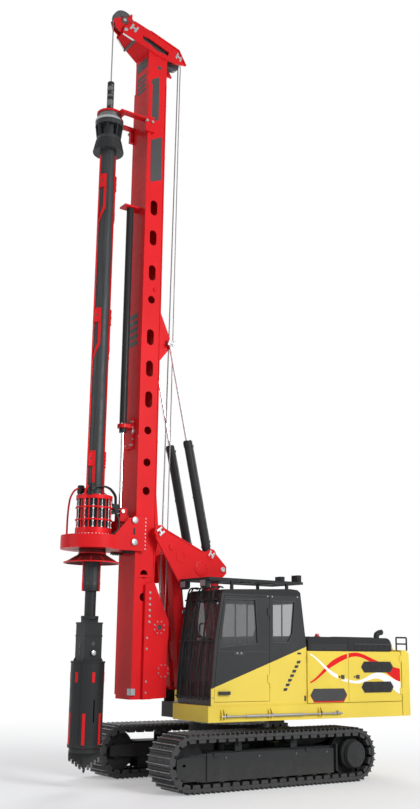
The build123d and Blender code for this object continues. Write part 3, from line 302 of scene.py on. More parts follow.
kellyAxis = 2.576  # x of the line that the kelly, the drive and the bucket turn about


def paintMaterial(name, colour, roughness, coat, peel=0.00006, dust=None, metal=0.0):
    values = {"Metallic": metal, "Specular IOR Level": 0.08, "Coat Weight": coat, "Coat Roughness": 0.12}
    parts = material, tree, shader = newMaterial(name, values)
    tint = paintColour(tree, colour)
    if dust:
        tint = dustOn(tree, tint, *dust)
    finishMaterial(parts, tint, roughly(tree, roughness, roughness * 0.2), noiseOf(tree, 160, 2.0), peel)


def steelMaterial(name, colour, roughness, stretch=(1, 1, 1), grain=220):
    parts = material, tree, shader = newMaterial(name, {"Metallic": 1.0})
    brushed = noiseOf(tree, grain, 3.0, stretch)
    rough = spread(tree, brushed, roughness * 0.7, roughness * 1.3)
    finishMaterial(parts, paintColour(tree, colour, 0.08), rough, brushed, 0.00003)


def plasticMaterial(name, colour, roughness, grain, depth):
    parts = material, tree, shader = newMaterial(name, {})
    tint = paintColour(tree, colour, 0.1)
    finishMaterial(parts, tint, roughly(tree, roughness, 0.07), noiseOf(tree, grain, 2.0), depth)


def trackMaterial(settings):
    # the grousers' tips are rubbed bright, and the rest is dark rolled steel
    parts = material, tree, shader = newMaterial("trackSteel", {})
    x, y, z = placeXYZ(tree)
    endX = calc(tree, "MAXIMUM", calc(tree, "SUBTRACT", calc(tree, "ABSOLUTE", x), settings["halfBase"]), 0.0)
    reach = reachOf(tree, endX, calc(tree, "SUBTRACT", z, settings["axleHeight"]))
    rubbed = spread(tree, reach, 0, 1, settings["tip"] - 0.012, settings["tip"])
    wear = calc(tree, "MULTIPLY", rubbed, spread(tree, noiseOf(tree, 40, 4.0), 0.1, 1.0))
    base = mixColour(tree, noiseOf(tree, 14, 4.0), coats["track"], scaled(coats["track"], 1.9))
    tree.links.new(spread(tree, wear, 0.35, 0.9, 0, 1), shader.inputs["Metallic"])
    colour = mixColour(tree, wear, base, coats["wornSteel"])
    finishMaterial(parts, colour, spread(tree, wear, 0.55, 0.28, 0, 1), noiseOf(tree, 90, 4.0), 0.0006)


def twoToneMaterial(name, redFrom, redTop, core):
    parts = material, tree, shader = newMaterial(name, {"Metallic": 0.25, "Specular IOR Level": 0.12})
    x, y, z = placeXYZ(tree)
    raised = calc(tree, "GREATER_THAN", reachOf(tree, calc(tree, "SUBTRACT", x, kellyAxis), y), redFrom)
    mask = calc(tree, "MULTIPLY", raised, calc(tree, "LESS_THAN", z, redTop))
    # the dark colour in long streaks; on the sleeve this dark red is painted shade
    streakedCore = mixColour(tree, spread(tree, noiseOf(tree, 5, 4.0, (6, 6, 0.3)), 0, 1), core, scaled(core, 1.7))
    height = noiseOf(tree, 60, 3.0, (1, 1, 0.25))
    finishMaterial(parts, mixColour(tree, mask, streakedCore, coats["red"]), roughly(tree, 0.42, 0.08), height, 0.0002)


def cabCoat(settings):
    # black cab whose lower side panels are yellow under a rising line
    parts = material, tree, shader = newMaterial("cabCoat", {"Specular IOR Level": 0.25, "Coat Weight": 0.08})
    x, y, z = placeXYZ(tree)
    (x0, z0), (x1, z1) = settings["lineFront"], settings["lineRear"]
    slope = (z1 - z0) / (x1 - x0)
    under = calc(tree, "LESS_THAN", z, calc(tree, "MULTIPLY_ADD", x, slope, z0 - slope * x0))
    offMiddle = calc(tree, "ABSOLUTE", calc(tree, "SUBTRACT", y, settings["middleY"]))
    outside = calc(tree, "GREATER_THAN", offMiddle, settings["innerHalf"])
    behind = calc(tree, "LESS_THAN", x, settings["pillarX"])
    mask = calc(tree, "MULTIPLY", calc(tree, "MULTIPLY", under, outside), behind)
    black, yellow = paintColour(tree, coats["black"], 0.15), paintColour(tree, coats["yellow"], 0.04)
    colour = mixColour(tree, mask, black, yellow)
    finishMaterial(parts, colour, roughly(tree, 0.36, 0.06), noiseOf(tree, 160, 2.0), 0.00006)


def deckCoat(bayHalf):
    # yellow platform whose middle bay, between the arm's feet, is painted dark grey as painted shade
    parts = material, tree, shader = newMaterial("deckCoat", {"Specular IOR Level": 0.12})
    outer = calc(tree, "GREATER_THAN", calc(tree, "ABSOLUTE", placeXYZ(tree)[1]), bayHalf)
    # dark grey in the bay between the mast foot and the cab is painted shade
    colour = mixColour(tree, outer, paintColour(tree, coats["chassis"], 0.15), paintColour(tree, coats["yellow"]))
    finishMaterial(parts, colour, roughly(tree, 0.4, 0.07), noiseOf(tree, 160, 2.0), 0.00006)


def glassMaterial(tint, alpha, roughness):
    parts = material, tree, shader = newMaterial("cabGlass", {"Alpha": alpha})
    smear = spread(tree, noiseOf(tree, 3, 3.0), roughness, roughness * 3)
    finishMaterial(parts, mixColour(tree, noiseOf(tree, 1.5), scaled(tint, 0.97), tint), smear, None, 0)


def fabricMaterial(colour):
    parts = material, tree, shader = newMaterial("seatCloth", {"Roughness": 0.9, "Sheen Weight": 0.3})
    weave = calc(tree, "MAXIMUM", waveOf(tree, "X", 180), waveOf(tree, "Z", 180))
    finishMaterial(parts, mixColour(tree, weave, scaled(colour, 0.7), scaled(colour, 1.3)), None, weave, 0.0005)


def ropeMaterial(groove, strand):
    # laid wire rope: bright strands and darker grooves that turn round it
    parts = material, tree, shader = newMaterial("wireRope", {"Metallic": 0.8})
    lay = waveOf(tree, "DIAGONAL", 28)
    finishMaterial(parts, mixColour(tree, lay, groove, strand), spread(tree, lay, 0.5, 0.3, 0, 1), lay, 0.002)


for makeFinish, rows in (
    (paintMaterial, paints), (steelMaterial, steels), (plasticMaterial, plastics), (twoToneMaterial, twoTones),
):
    for name, values in rows.items():
        makeFinish(name, *values)
trackMaterial({"halfBase": 1.545, "axleHeight": 0.407, "tip": 0.407})
cabCoat({
    "lineFront": (1.185, 1.424), "lineRear": (-0.62, 2.045), "middleY": 0.7625, "innerHalf": 0.45, "pillarX": 1.19,
})
deckCoat(0.288)
glassMaterial((0.085, 0.09, 0.095), 0.42, 0.03)
fabricMaterial((0.03, 0.03, 0.034))
ropeMaterial((0.12, 0.12, 0.12), (0.42, 0.42, 0.43))

finishOf = {
    "red_paint": "redPaint",
    "yellow_paint": "yellowPaint",
    "counterweight_yellow": "castYellow",
    "black_paint": "blackPaint",
    "kelly_black": "toolCoat",
    "chassis_grey": "chassisPaint",
    "track_steel": "trackSteel",
    "pale_steel": "paleSteel",
    "bright_steel": "brightSteel",
    "chrome_rod": "chrome",
    "sheave_grey": "castGrey",
    "engine_grey": "engineCoat",
    "cab_glass": "cabGlass",
    "seat_fabric": "seatCloth",
    "black_plastic": "blackPlastic",
}
ownFinish = {
    "cab_shell": "cabCoat",
    "cab_door": "cabCoat",
    "platform": "deckCoat",
    "kelly_outer": "kellyCoat",
    "gearbox": "gearCoat",
    "drive_sleeve": "sleeveCoat",
    "swivel": "darkSteel",
}

for name, node in nodes.items():
    finish = finishes[ownFinish.get(name) or finishOf[slotOf[name]]]
    if not node.data.materials:
        node.data.materials.append(finish)
    for index in range(len(node.data.materials)):
        node.data.materials[index] = finish
print("materials done")

ahead, leftward, upward, downward = (1, 0, 0), (0, 1, 0), (0, 0, 1), (0, 0, -1)


# shapes that the pieces are built from
def joinRings(mesh, rings, hollow=False):
    # faces between rings of corners, closed at both ends or, where hollow, back to the first ring
    for low, high in list(zip(rings, rings[1:])) + ([(rings[-1], rings[0])] if hollow else []):
        for step in range(len(low)):
            after = (step + 1) % len(low)
            mesh.faces.new((low[step], low[after], high[after], high[step]))
    if not hollow:
        mesh.faces.new(list(reversed(rings[0])))
        mesh.faces.new(rings[-1])


def addBox(mesh, x, y, z):
    middle = Vector(((x[0] + x[1]) / 2, (y[0] + y[1]) / 2, (z[0] + z[1]) / 2))
    size = Matrix.Diagonal((abs(x[1] - x[0]), abs(y[1] - y[0]), abs(z[1] - z[0]), 1))
    bmesh.ops.create_cube(mesh, size=1, matrix=Matrix.Translation(middle) @ size)


def addBoxOn(mesh, place, half):
    # box with half its sizes to each side of the place
    addBox(mesh, *((middle - size, middle + size) for middle, size in zip(place, half)))


def addTurned(mesh, place, axis, profile, steps=32, hollow=False):
    # turned form from (radius, distance along the axis) pairs, hollow where the last pair joins the first
    turn = Matrix.Translation(Vector(place)) @ Vector(axis).to_track_quat("Z", "Y").to_matrix().to_4x4()
    angles = [2 * math.pi * step / steps for step in range(steps)]
    joinRings(mesh, [
        [mesh.verts.new(turn @ Vector((radius * math.cos(a), radius * math.sin(a), along))) for a in angles]
        for radius, along in profile
    ], hollow)


def addCollar(mesh, place, axis, inner, outer, height, steps=36, low=0.0):
    addTurned(mesh, place, axis, [(inner, low), (outer, low), (outer, height), (inner, height)], steps, True)


def addPrism(mesh, outline, flat, low, high):
    # outline in the two axes across flat, between two places along it
    index = "xyz".index(flat)
    rings = [[mesh.verts.new((*point[:index], along, *point[index:])) for point in outline] for along in (low, high)]
    joinRings(mesh, rings)


def addFin(mesh, turn, outline, half):
    # upright plate that stands away from the kelly's axis, with an outline of (reach, height) pairs
    out = Vector((math.cos(turn), math.sin(turn), 0))
    across = Vector((-out.y, out.x, 0)) * half
    joinRings(mesh, [
        [mesh.verts.new(Vector((kellyAxis, 0, z)) + out * reach + across * way) for reach, z in outline]
        for way in (-1, 1)
    ])


def addWrap(mesh, left, right, inner, outer):
    # curved strip on a round tube about the kelly's axis, between two lines of (turn, height)
    joinRings(mesh, [
        [mesh.verts.new(onKelly(turn, radius, z)) for (turn, z), radius in
         ((first, inner), (first, outer), (second, outer), (second, inner))]
        for first, second in zip(left, right)
    ])


def addBolt(mesh, place, axis, size):
    # washer and hexagon head for a thread of that size, seated on the place
    addTurned(mesh, place, axis, [(size * 1.15, -size * 0.1), (size * 1.15, size * 0.2)], 14)
    addTurned(mesh, place, axis, [(size * 0.9, size * 0.2), (size * 0.9, size * 0.7), (size * 0.72, size * 0.85)], 6)


def addBolts(mesh, places, axis, size):
    for place in places:
        addBolt(mesh, place, axis, size)


def addPin(mesh, place, radius, height):
    # pin end on the left, with a rounded edge and a centre dimple
    profile = [(radius, -0.002), (radius, height * 0.7), (radius * 0.88, height), (radius * 0.3, height),
               (radius * 0.24, height * 0.7)]
    addTurned(mesh, place, leftward, profile, 28)


def addKeeper(mesh, place, turn, size=0.062):
    # pin keeper: two bars and a bridge
    x, y, z = place
    c, s = math.cos(turn), math.sin(turn)
    for low, high, tall, proud in ((0.42, 1, 1, 0.014), (-1, -0.42, 1, 0.014), (-0.45, 0.45, 0.3, 0.011)):
        corners = [(low, -tall), (low, tall), (high, tall), (high, -tall)]
        outline = [(x + (a * c - b * s) * size, z + (a * s + b * c) * size) for a, b in corners]
        addPrism(mesh, outline, "y", y - 0.002, y + proud)


def sixSided(x, z):
    # outline with pointed ends
    tip, middle = (z[1] - z[0]) / 2, (z[0] + z[1]) / 2
    low, high = min(x), max(x)
    inner, outer = low + tip * 0.7, high - tip * 0.7
    return [(low, middle), (inner, z[0]), (outer, z[0]), (high, middle), (outer, z[1]), (inner, z[1])]


def arcPoints(middle, radius, start, end, count):
    # points (a, b) on an arc, in degrees
    turns = [math.radians(start + (end - start) * step / count) for step in range(count + 1)]
    return [(middle[0] + radius * math.cos(turn), middle[1] + radius * math.sin(turn)) for turn in turns]


def ringPlaces(middle, radius, count, flat="z", offset=0.0):
    # places on a circle that lies flat or, with "y", stands upright along the machine
    x, y, z = middle
    turns = [2 * math.pi * (step + offset) / count for step in range(count)]
    pairs = [(radius * math.cos(turn), radius * math.sin(turn)) for turn in turns]
    return [(x + a, y + b, z) if flat == "z" else (x + a, y, z + b) for a, b in pairs]


def spokeOutline(middle, turn, inner, outer, half, taper=1.0):
    # corners of a bar that points away from the middle
    out = Vector((math.cos(turn), math.sin(turn)))
    across = Vector((-out.y, out.x)) * half
    start, end = Vector(middle) + out * inner, Vector(middle) + out * outer
    return [start - across, end - across * taper, end + across * taper, start + across]


def onKelly(turn, radius, z):
    angle = math.radians(turn)
    return (kellyAxis + radius * math.cos(angle), radius * math.sin(angle), z)


def mirrored(points):
    return [(x, -y, z) for x, y, z in points]


def mirrorForm(mesh, keep=True):
    # moves what the mesh holds to the other side or, where it is kept, adds the mirror image
    verts = mesh.verts[:]
    if keep:
        copies = bmesh.ops.duplicate(mesh, geom=verts + mesh.edges[:] + mesh.faces[:])["geom"]
        verts = [item for item in copies if isinstance(item, bmesh.types.BMVert)]
    for vert in verts:
        vert.co.y = -vert.co.y


def finishPiece(name, mesh, body, slot, rounding=0.0, finish=None, side="left"):
    # side says where the piece goes, which is built on the left: left, right or both
    if side != "left":
        mirrorForm(mesh, side == "both")
    bmesh.ops.recalc_face_normals(mesh, faces=mesh.faces)
    data = bpy.data.meshes.new(name)
    mesh.to_mesh(data)
    mesh.free()
    data.materials.append(finishes[finish or finishOf[slot]])
    data.shade_smooth()
    data.set_sharp_from_angle(angle=math.radians(35))
    piece = addObject(name, data)
    if rounding:
        bevel = piece.modifiers.new("rounding", "BEVEL")
        bevel.width = rounding
        bevel.segments = 2
        bevel.limit_method = "ANGLE"
        bevel.angle_limit = math.radians(40)
        bevel.harden_normals = True
    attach(piece, body)
    return piece


def finishLine(name, runs, radius, body, slot, finish=None):
    # round bar, pipe or rope along each run of points
    data = bpy.data.curves.new(name, "CURVE")
    data.dimensions = "3D"
    data.bevel_depth = radius
    data.bevel_resolution = 3
    data.use_fill_caps = True
    for points in runs:
        spline = data.splines.new("NURBS")
        spline.points.add(len(points) - 1)
        for point, place in zip(spline.points, points):
            point.co = (*place, 1)
        spline.order_u = min(3, len(points))
        spline.use_endpoint_u = True
        spline.resolution_u = 8
    data.materials.append(finishes[finish or finishOf[slot]])
    line = addObject(name, data)
    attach(line, body)


trackLine = {
    "halfBase": 1.545,
    "axleHeight": 0.407,
    "pitchRadius": 0.353,
    "gauge": 2.02,
    "shoes": 49,
    "linkRows": ((0.100, 0.128, 0.065), (0.205, 0.285, 0.074)),  # inner and outer edge from the middle, depth
    "linkTop": -0.020,
    "boltRows": (-0.11, -0.05, 0.05, 0.11),
    "boltLift": 0.024,
    "boltSize": 0.013,
}


def onTrack(settings, distance, lift):
    # place (x, z) along the track's pitch line, from the front of the bottom run, and its outward direction
    base, height, radius = 2 * settings["halfBase"], settings["axleHeight"], settings["pitchRadius"]
    turn = math.pi * radius
    distance = distance % (2 * base + 2 * turn)
    if distance < base:
        start, outward = (settings["halfBase"] - distance, height), -math.pi / 2
    elif distance < base + turn:
        start, outward = (-settings["halfBase"], height), -math.pi / 2 - (distance - base) / radius
    elif distance < 2 * base + turn:
        start, outward = (-settings["halfBase"] + distance - base - turn, height), math.pi / 2
    else:
        start, outward = (settings["halfBase"], height), math.pi / 2 - (distance - 2 * base - turn) / radius
    reach = radius + lift
    return (start[0] + reach * math.cos(outward), start[1] + reach * math.sin(outward)), outward


def makeTracks(settings):
    links, bolts = bmesh.new(), bmesh.new()
    pitch = (4 * settings["halfBase"] + 2 * math.pi * settings["pitchRadius"]) / settings["shoes"]
    middle, top = settings["gauge"] / 2, settings["linkTop"]
    for index in range(settings["shoes"]):
        centre = (index + 0.5) * pitch
        for inner, outer, depth in settings["linkRows"]:
            corners = [(-0.4, top), (0.4, top), (0.32, -depth), (-0.32, -depth)]
            outline = [onTrack(settings, centre + along * pitch, lift)[0] for along, lift in corners]
            for half in (1, -1):
                addPrism(links, outline, "y", middle + half * inner, middle + half * outer)
        (x, z), outward = onTrack(settings, centre, settings["boltLift"])
        places = [(x, middle + y, z) for y in settings["boltRows"]]
        addBolts(bolts, places, (math.cos(outward), 0, math.sin(outward)), settings["boltSize"])
    finishPiece("track_links", links, "undercarriage", "track_steel", side="both")
    finishPiece("shoe_bolts", bolts, "undercarriage", "track_steel", finish="darkSteel", side="both")


makeTracks(trackLine)

underParts = {
    "standXs": (0.64, -0.40),
    "standHalf": 0.062,
    "standFoot": 0.54,
    "standYs": ((1.136, 1.158), (0.862, 0.884)),
    "mountXs": [1.0 - 0.2857 * step for step in range(8)],
    "lugXs": (1.127, -0.577),
    "boltXs": (-0.95, -0.35, 0.35, 0.95),
    "plates": {
        "front flange": ((1.272, 1.292), (1.276, 1.300), (0.172, 0.552)),
        "front lip": ((1.292, 1.60), (1.276, 1.290), (0.508, 0.524)),
        "front foot": ((1.292, 1.70), (1.276, 1.288), (0.176, 0.190)),
        "rear flange": ((-1.155, -1.130), (1.198, 1.298), (0.190, 0.580)),
        "inner plate": ((-1.40, -0.62), (0.86, 0.88), (0.53, 0.735)),
    },
    "hub": (-1.545, 1.29, 0.407),
    "hubCover": [(0.188, -0.004), (0.188, 0.006), (0.176, 0.011), (0.07, 0.011), (0.06, 0.016), (0.022, 0.016)],
    "hubScrews": (0.148, 12),
    "casing": [(0.23, -0.15), (0.23, -0.09), (0.205, -0.06), (0.205, -0.03)],
    "teeth": 96,
    "toothForm": ((0, 0.562), (0.25, 0.584), (0.55, 0.584), (0.8, 0.562)),  # share of the pitch, radius
    "ringBolts": (0.612, 30),
}


def makeUndercarriage(settings):
    frames, bolts = bmesh.new(), bmesh.new()
    half, foot = settings["standHalf"], settings["standFoot"]
    for x in settings["standXs"]:
        outline = [(x + half, foot)] + arcPoints((x, 0.635), half, 0, 180, 12) + [(x - half, foot)]
        for span in settings["standYs"]:
            addPrism(frames, outline, "y", *span)
        addPin(frames, (x, 1.158, 0.64), 0.028, 0.012)
    for x in settings["mountXs"]:
        addBox(frames, (x - 0.05, x + 0.05), (1.15, 1.245), (0.135, 0.205))
        addBox(frames, (x - 0.032, x + 0.032), (1.24, 1.272), (0.142, 0.158))
        addBolt(bolts, (x, 1.205, 0.137), downward, 0.016)
    for sizes in settings["plates"].values():
        addBox(frames, *sizes)
    for x in settings["lugXs"]:
        addBox(frames, (x - 0.045, x + 0.045), (1.248, 1.296), (0.492, 0.542))
    addBolts(bolts, [(x, 1.278, 0.47) for x in settings["boltXs"]], leftward, 0.014)
    addTurned(frames, settings["hub"], leftward, settings["hubCover"], 48)
    addTurned(frames, settings["hub"], leftward, settings["casing"], 40)
    for x, y, z in ringPlaces(settings["hub"], *settings["hubScrews"], "y"):
        addTurned(frames, (x, y + 0.01, z), leftward, [(0.010, -0.002), (0.010, 0.004), (0.007, 0.007)], 6)
    finishPiece("track_frame_fittings", frames, "undercarriage", "chassis_grey", 0.003, side="both")
    finishPiece("track_frame_bolts", bolts, "undercarriage", "chassis_grey", finish="darkSteel", side="both")

    gear, ring, teeth = bmesh.new(), bmesh.new(), []
    for step in range(settings["teeth"]):
        for offset, radius in settings["toothForm"]:
            turn = 2 * math.pi * (step + offset) / settings["teeth"]
            teeth.append((radius * math.cos(turn), radius * math.sin(turn)))
    addPrism(gear, teeth, "z", 0.872, 0.934)
    finishPiece("slewing_teeth", gear, "undercarriage", "pale_steel")
    addBolts(ring, ringPlaces((0, 0, 0.855), *settings["ringBolts"]), upward, 0.017)
    finishPiece("slewing_bolts", ring, "undercarriage", "pale_steel")


makeUndercarriage(underParts)
print("undercarriage done")

deckParts = {
    "side": 1.25,
    "pipe": (1.285, 1.035),
    "lugs": (1.02, 0.154, -0.824),
    "lugForm": ((1.248, 0.985), (1.248, 1.135), (1.262, 1.135), (1.296, 1.075), (1.296, 1.0)),
    "edgeZ": (1.172, 1.186),
    "clamps": (0.93, 0.10, -0.88, -1.20),
    "valves": ((-0.30, 0.20), (-0.30, -0.20), (0.62, 0.0)),
    "lines": 5,
}


def makeDeck(settings):
    side, (pipeY, pipeZ) = settings["side"], settings["pipe"]
    lugs, clamps, valves = bmesh.new(), bmesh.new(), bmesh.new()
    for x in settings["lugs"]:
        addPrism(lugs, settings["lugForm"], "x", x, x + 0.016)
        addPrism(lugs, settings["lugForm"], "x", x - 0.05, x - 0.034)
    addBox(lugs, (-2.62, 1.24), (side - 0.004, side + 0.004), settings["edgeZ"])
    addBox(lugs, (-2.62, 0.32), (-side - 0.004, -side + 0.004), settings["edgeZ"])
    finishPiece("deck_lugs", lugs, "upper", "yellow_paint", 0.002)
    for x in settings["clamps"]:
        addCollar(clamps, (x, pipeY, pipeZ), ahead, 0.0145, 0.021, 0.022, 20)
        addBox(clamps, (x, x + 0.022), (pipeY - 0.017, pipeY + 0.017), (1.05, 1.072))
        addBolt(clamps, (x + 0.011, pipeY, 1.072), upward, 0.009)
    addTurned(clamps, (1.027, pipeY, pipeZ), ahead, [(0.018, -0.03), (0.018, 0.0), (0.010, 0.012)], 6)
    finishPiece("pipe_clamps", clamps, "upper", "bright_steel")

    # lines and valve blocks between the arm's feet
    for x, y in settings["valves"]:
        addBox(valves, (x - 0.11, x + 0.11), (y - 0.075, y + 0.075), (1.183, 1.30))
        for step in range(4):
            place = (x - 0.08 + 0.053 * step, y, 1.30)
            addTurned(valves, place, upward, [(0.018, -0.01), (0.018, 0.02), (0.012, 0.05)], 8)
    finishPiece("valve_blocks", valves, "upper", "black_paint", 0.004)
    runs = []
    for step in range(settings["lines"]):
        y = -0.24 + 0.035 * step
        runs.append([(-0.60, y, 1.215), (-0.42, y, 1.215), (0.0, y - 0.02, 1.205), (0.45, y - 0.02, 1.215),
                     (0.62, y + 0.14, 1.22), (0.62, y + 0.14, 1.25)])
    finishLine("deck_pipes", runs, 0.011, "upper", "black_plastic", "rubber")


makeDeck(deckParts)

houseParts = {
    "side": 1.25,
    "louvres": ((1.648, 1.822), (1.333, 1.506)),
    "louvreX": (-1.731, -2.445),
    "slats": 9,
    "plateX": (-0.665, -1.418),
    "plateZ": (1.218, 1.407),
    "latchFront": (-1.376, -1.230),
    "latchRear": (-1.699, -1.551),
    "latchZ": (1.539, 1.627),
    "doorEnds": (-0.614, -1.461, -2.622),
    # x from and to, and pitch; then rows on top: first x, pitch, bar, count, half width
    "fins": (-1.612, -2.400, 0.0272),
    "hoodRows": (-1.56, 0.085, 0.045, 9, 0.85),
    "roofRows": (-0.74, 0.09, 0.05, 7, 0.75),
    # swooshes: slot, finish, x of both ends, z of the middle line along it, half widths along it
    "swooshX": (-0.66, -2.60),
    "swooshes": {
        "red": ("red_paint", "redPaint", (1.50, 1.80, 1.93, 1.78, 1.60), (0.012, 0.045, 0.030, 0.045, 0.11)),
        "white": ("yellow_paint", "whitePaint", (1.93, 1.62, 1.50, 1.60, 1.40), (0.010, 0.030, 0.022, 0.05, 0.10)),
    },
    "roofLamp": (-1.192, 0.8),
    "exhaust": (-2.74, 0.55),
    "tailRadius": 3.08,
    "weightBolts": ((0.42, 0.80), (1.15, 1.80)),
    "tailLampY": 0.95,
    "eye": (-2.85, 0.75),
}


def alongLine(values, share):
    # smooth value between evenly spaced ones
    place = share * (len(values) - 1)
    index = min(int(place), len(values) - 2)
    part = place - index
    before, after = values[max(index - 1, 0)], values[min(index + 2, len(values) - 1)]
    low, high = values[index], values[index + 1]
    bend = part * part * (3 - 2 * part)
    slope = (high - before) / 2 * part * (1 - part) * (1 - part) - (after - low) / 2 * part * part * (1 - part)
    return low + (high - low) * bend + slope


def addSwoosh(mesh, x, middles, halves, limits, level):
    # thin raised band on a side door, kept within the door's ends
    count, low, high = 60, [], []
    for step in range(count + 1):
        share = step / count
        place = x[0] + (x[1] - x[0]) * share
        if limits[0] <= place <= limits[1]:
            middle, half = alongLine(middles, share), alongLine(halves, share)
            low.append((place, max(middle - half, 1.20)))
            high.append((place, min(middle + half, 1.975)))
    for index in range(len(low) - 1):
        addPrism(mesh, [low[index], low[index + 1], high[index + 1], high[index]], "y", 1.249, 1.2505 + level)


def addSlats(mesh, outline, count, near, far):
    # thin level slats within a six-sided outline (x, z) on the side face
    xs, zs = zip(*outline)
    low, high = min(zs), max(zs)
    pitch = (high - low) / count
    for step in range(count):
        z = low + (step + 0.5) * pitch
        inset = 0.012 + abs(z - (low + high) / 2)
        slat = [(near, z - pitch * 0.32), (far, z - pitch * 0.1), (far, z + pitch * 0.1), (near, z + pitch * 0.32)]
        addPrism(mesh, slat, "x", min(xs) + inset, max(xs) - inset)


def makeSide(settings, side):
    # what the doors on one side carry
    face = settings["side"]
    frontDoor, rearDoor = f"house_door_{side}_front", f"house_door_{side}_rear"
    louvre, rims, plate, edge = (bmesh.new() for step in range(4))
    middle = sum(settings["louvreX"]) / 2
    for low, high in settings["louvres"]:
        outline = sixSided(settings["louvreX"], (low, high))
        addPrism(rims, outline, "y", face - 0.002, face + 0.003)
        addSlats(louvre, outline, settings["slats"], face + 0.002, face + 0.016)
        for x in (middle - 0.12, middle + 0.12):
            addBox(louvre, (x, x + 0.008), (face, face + 0.012), (low + 0.01, high - 0.01))
    finishPiece(f"louvre_slats_{side}", louvre, rearDoor, "black_paint", 0, "blackPlastic", side)
    finishPiece(f"louvre_frames_{side}", rims, rearDoor, "black_paint", 0.001, "blackPlastic", side)

    outline = sixSided(settings["plateX"], settings["plateZ"])
    addPrism(plate, outline, "y", face - 0.001, face + 0.006)
    finishPiece(f"blank_plate_{side}", plate, frontDoor, "black_paint", 0.002, "blackPlastic", side)
    shifts = ((-0.004, -0.022), (-0.004, -0.018), (0.004, -0.018), (0.004, -0.022))
    under = [(x + dx, z + dz) for (x, z), (dx, dz) in zip(reversed(outline[:4]), shifts)]
    addPrism(edge, outline[:4] + under, "y", face - 0.001, face + 0.004)
    finishPiece(f"plate_edge_{side}", edge, frontDoor, "red_paint", side=side)

    low, high = settings["latchZ"]
    for door, span in ((frontDoor, settings["latchFront"]), (rearDoor, settings["latchRear"])):
        tray, paddle, half = bmesh.new(), bmesh.new(), sum(span) / 2
        addBox(tray, span, (face - 0.002, face + 0.004), (low, high))
        finishPiece(f"latch_tray_{door}", tray, door, "yellow_paint", 0.003, side=side)
        addBox(paddle, (span[0] + 0.012, half + 0.01), (face, face + 0.012), (low + 0.014, high - 0.014))
        addPin(paddle, (half + 0.038, face + 0.003, (low + high) / 2), 0.016, 0.006)
        finishPiece(f"latch_paddle_{door}", paddle, door, "black_plastic", 0.003, side=side)

    front, seam, rear = settings["doorEnds"]
    for door, limits in ((frontDoor, (seam + 0.006, front)), (rearDoor, (rear, seam - 0.006))):
        for level, (tint, (slot, finish, *lines)) in enumerate(settings["swooshes"].items()):
            stripe = bmesh.new()
            addSwoosh(stripe, settings["swooshX"], *lines, limits, 0.0006 * (level + 1))
            finishPiece(f"stripe_{tint}_{door}", stripe, door, slot, 0, finish, side)


def addRows(mesh, rows, low, high):
    start, pitch, bar, count, half = rows
    for row in range(count):
        x = start - row * pitch
        addBox(mesh, (x - bar, x), (-half, half), (low, high))


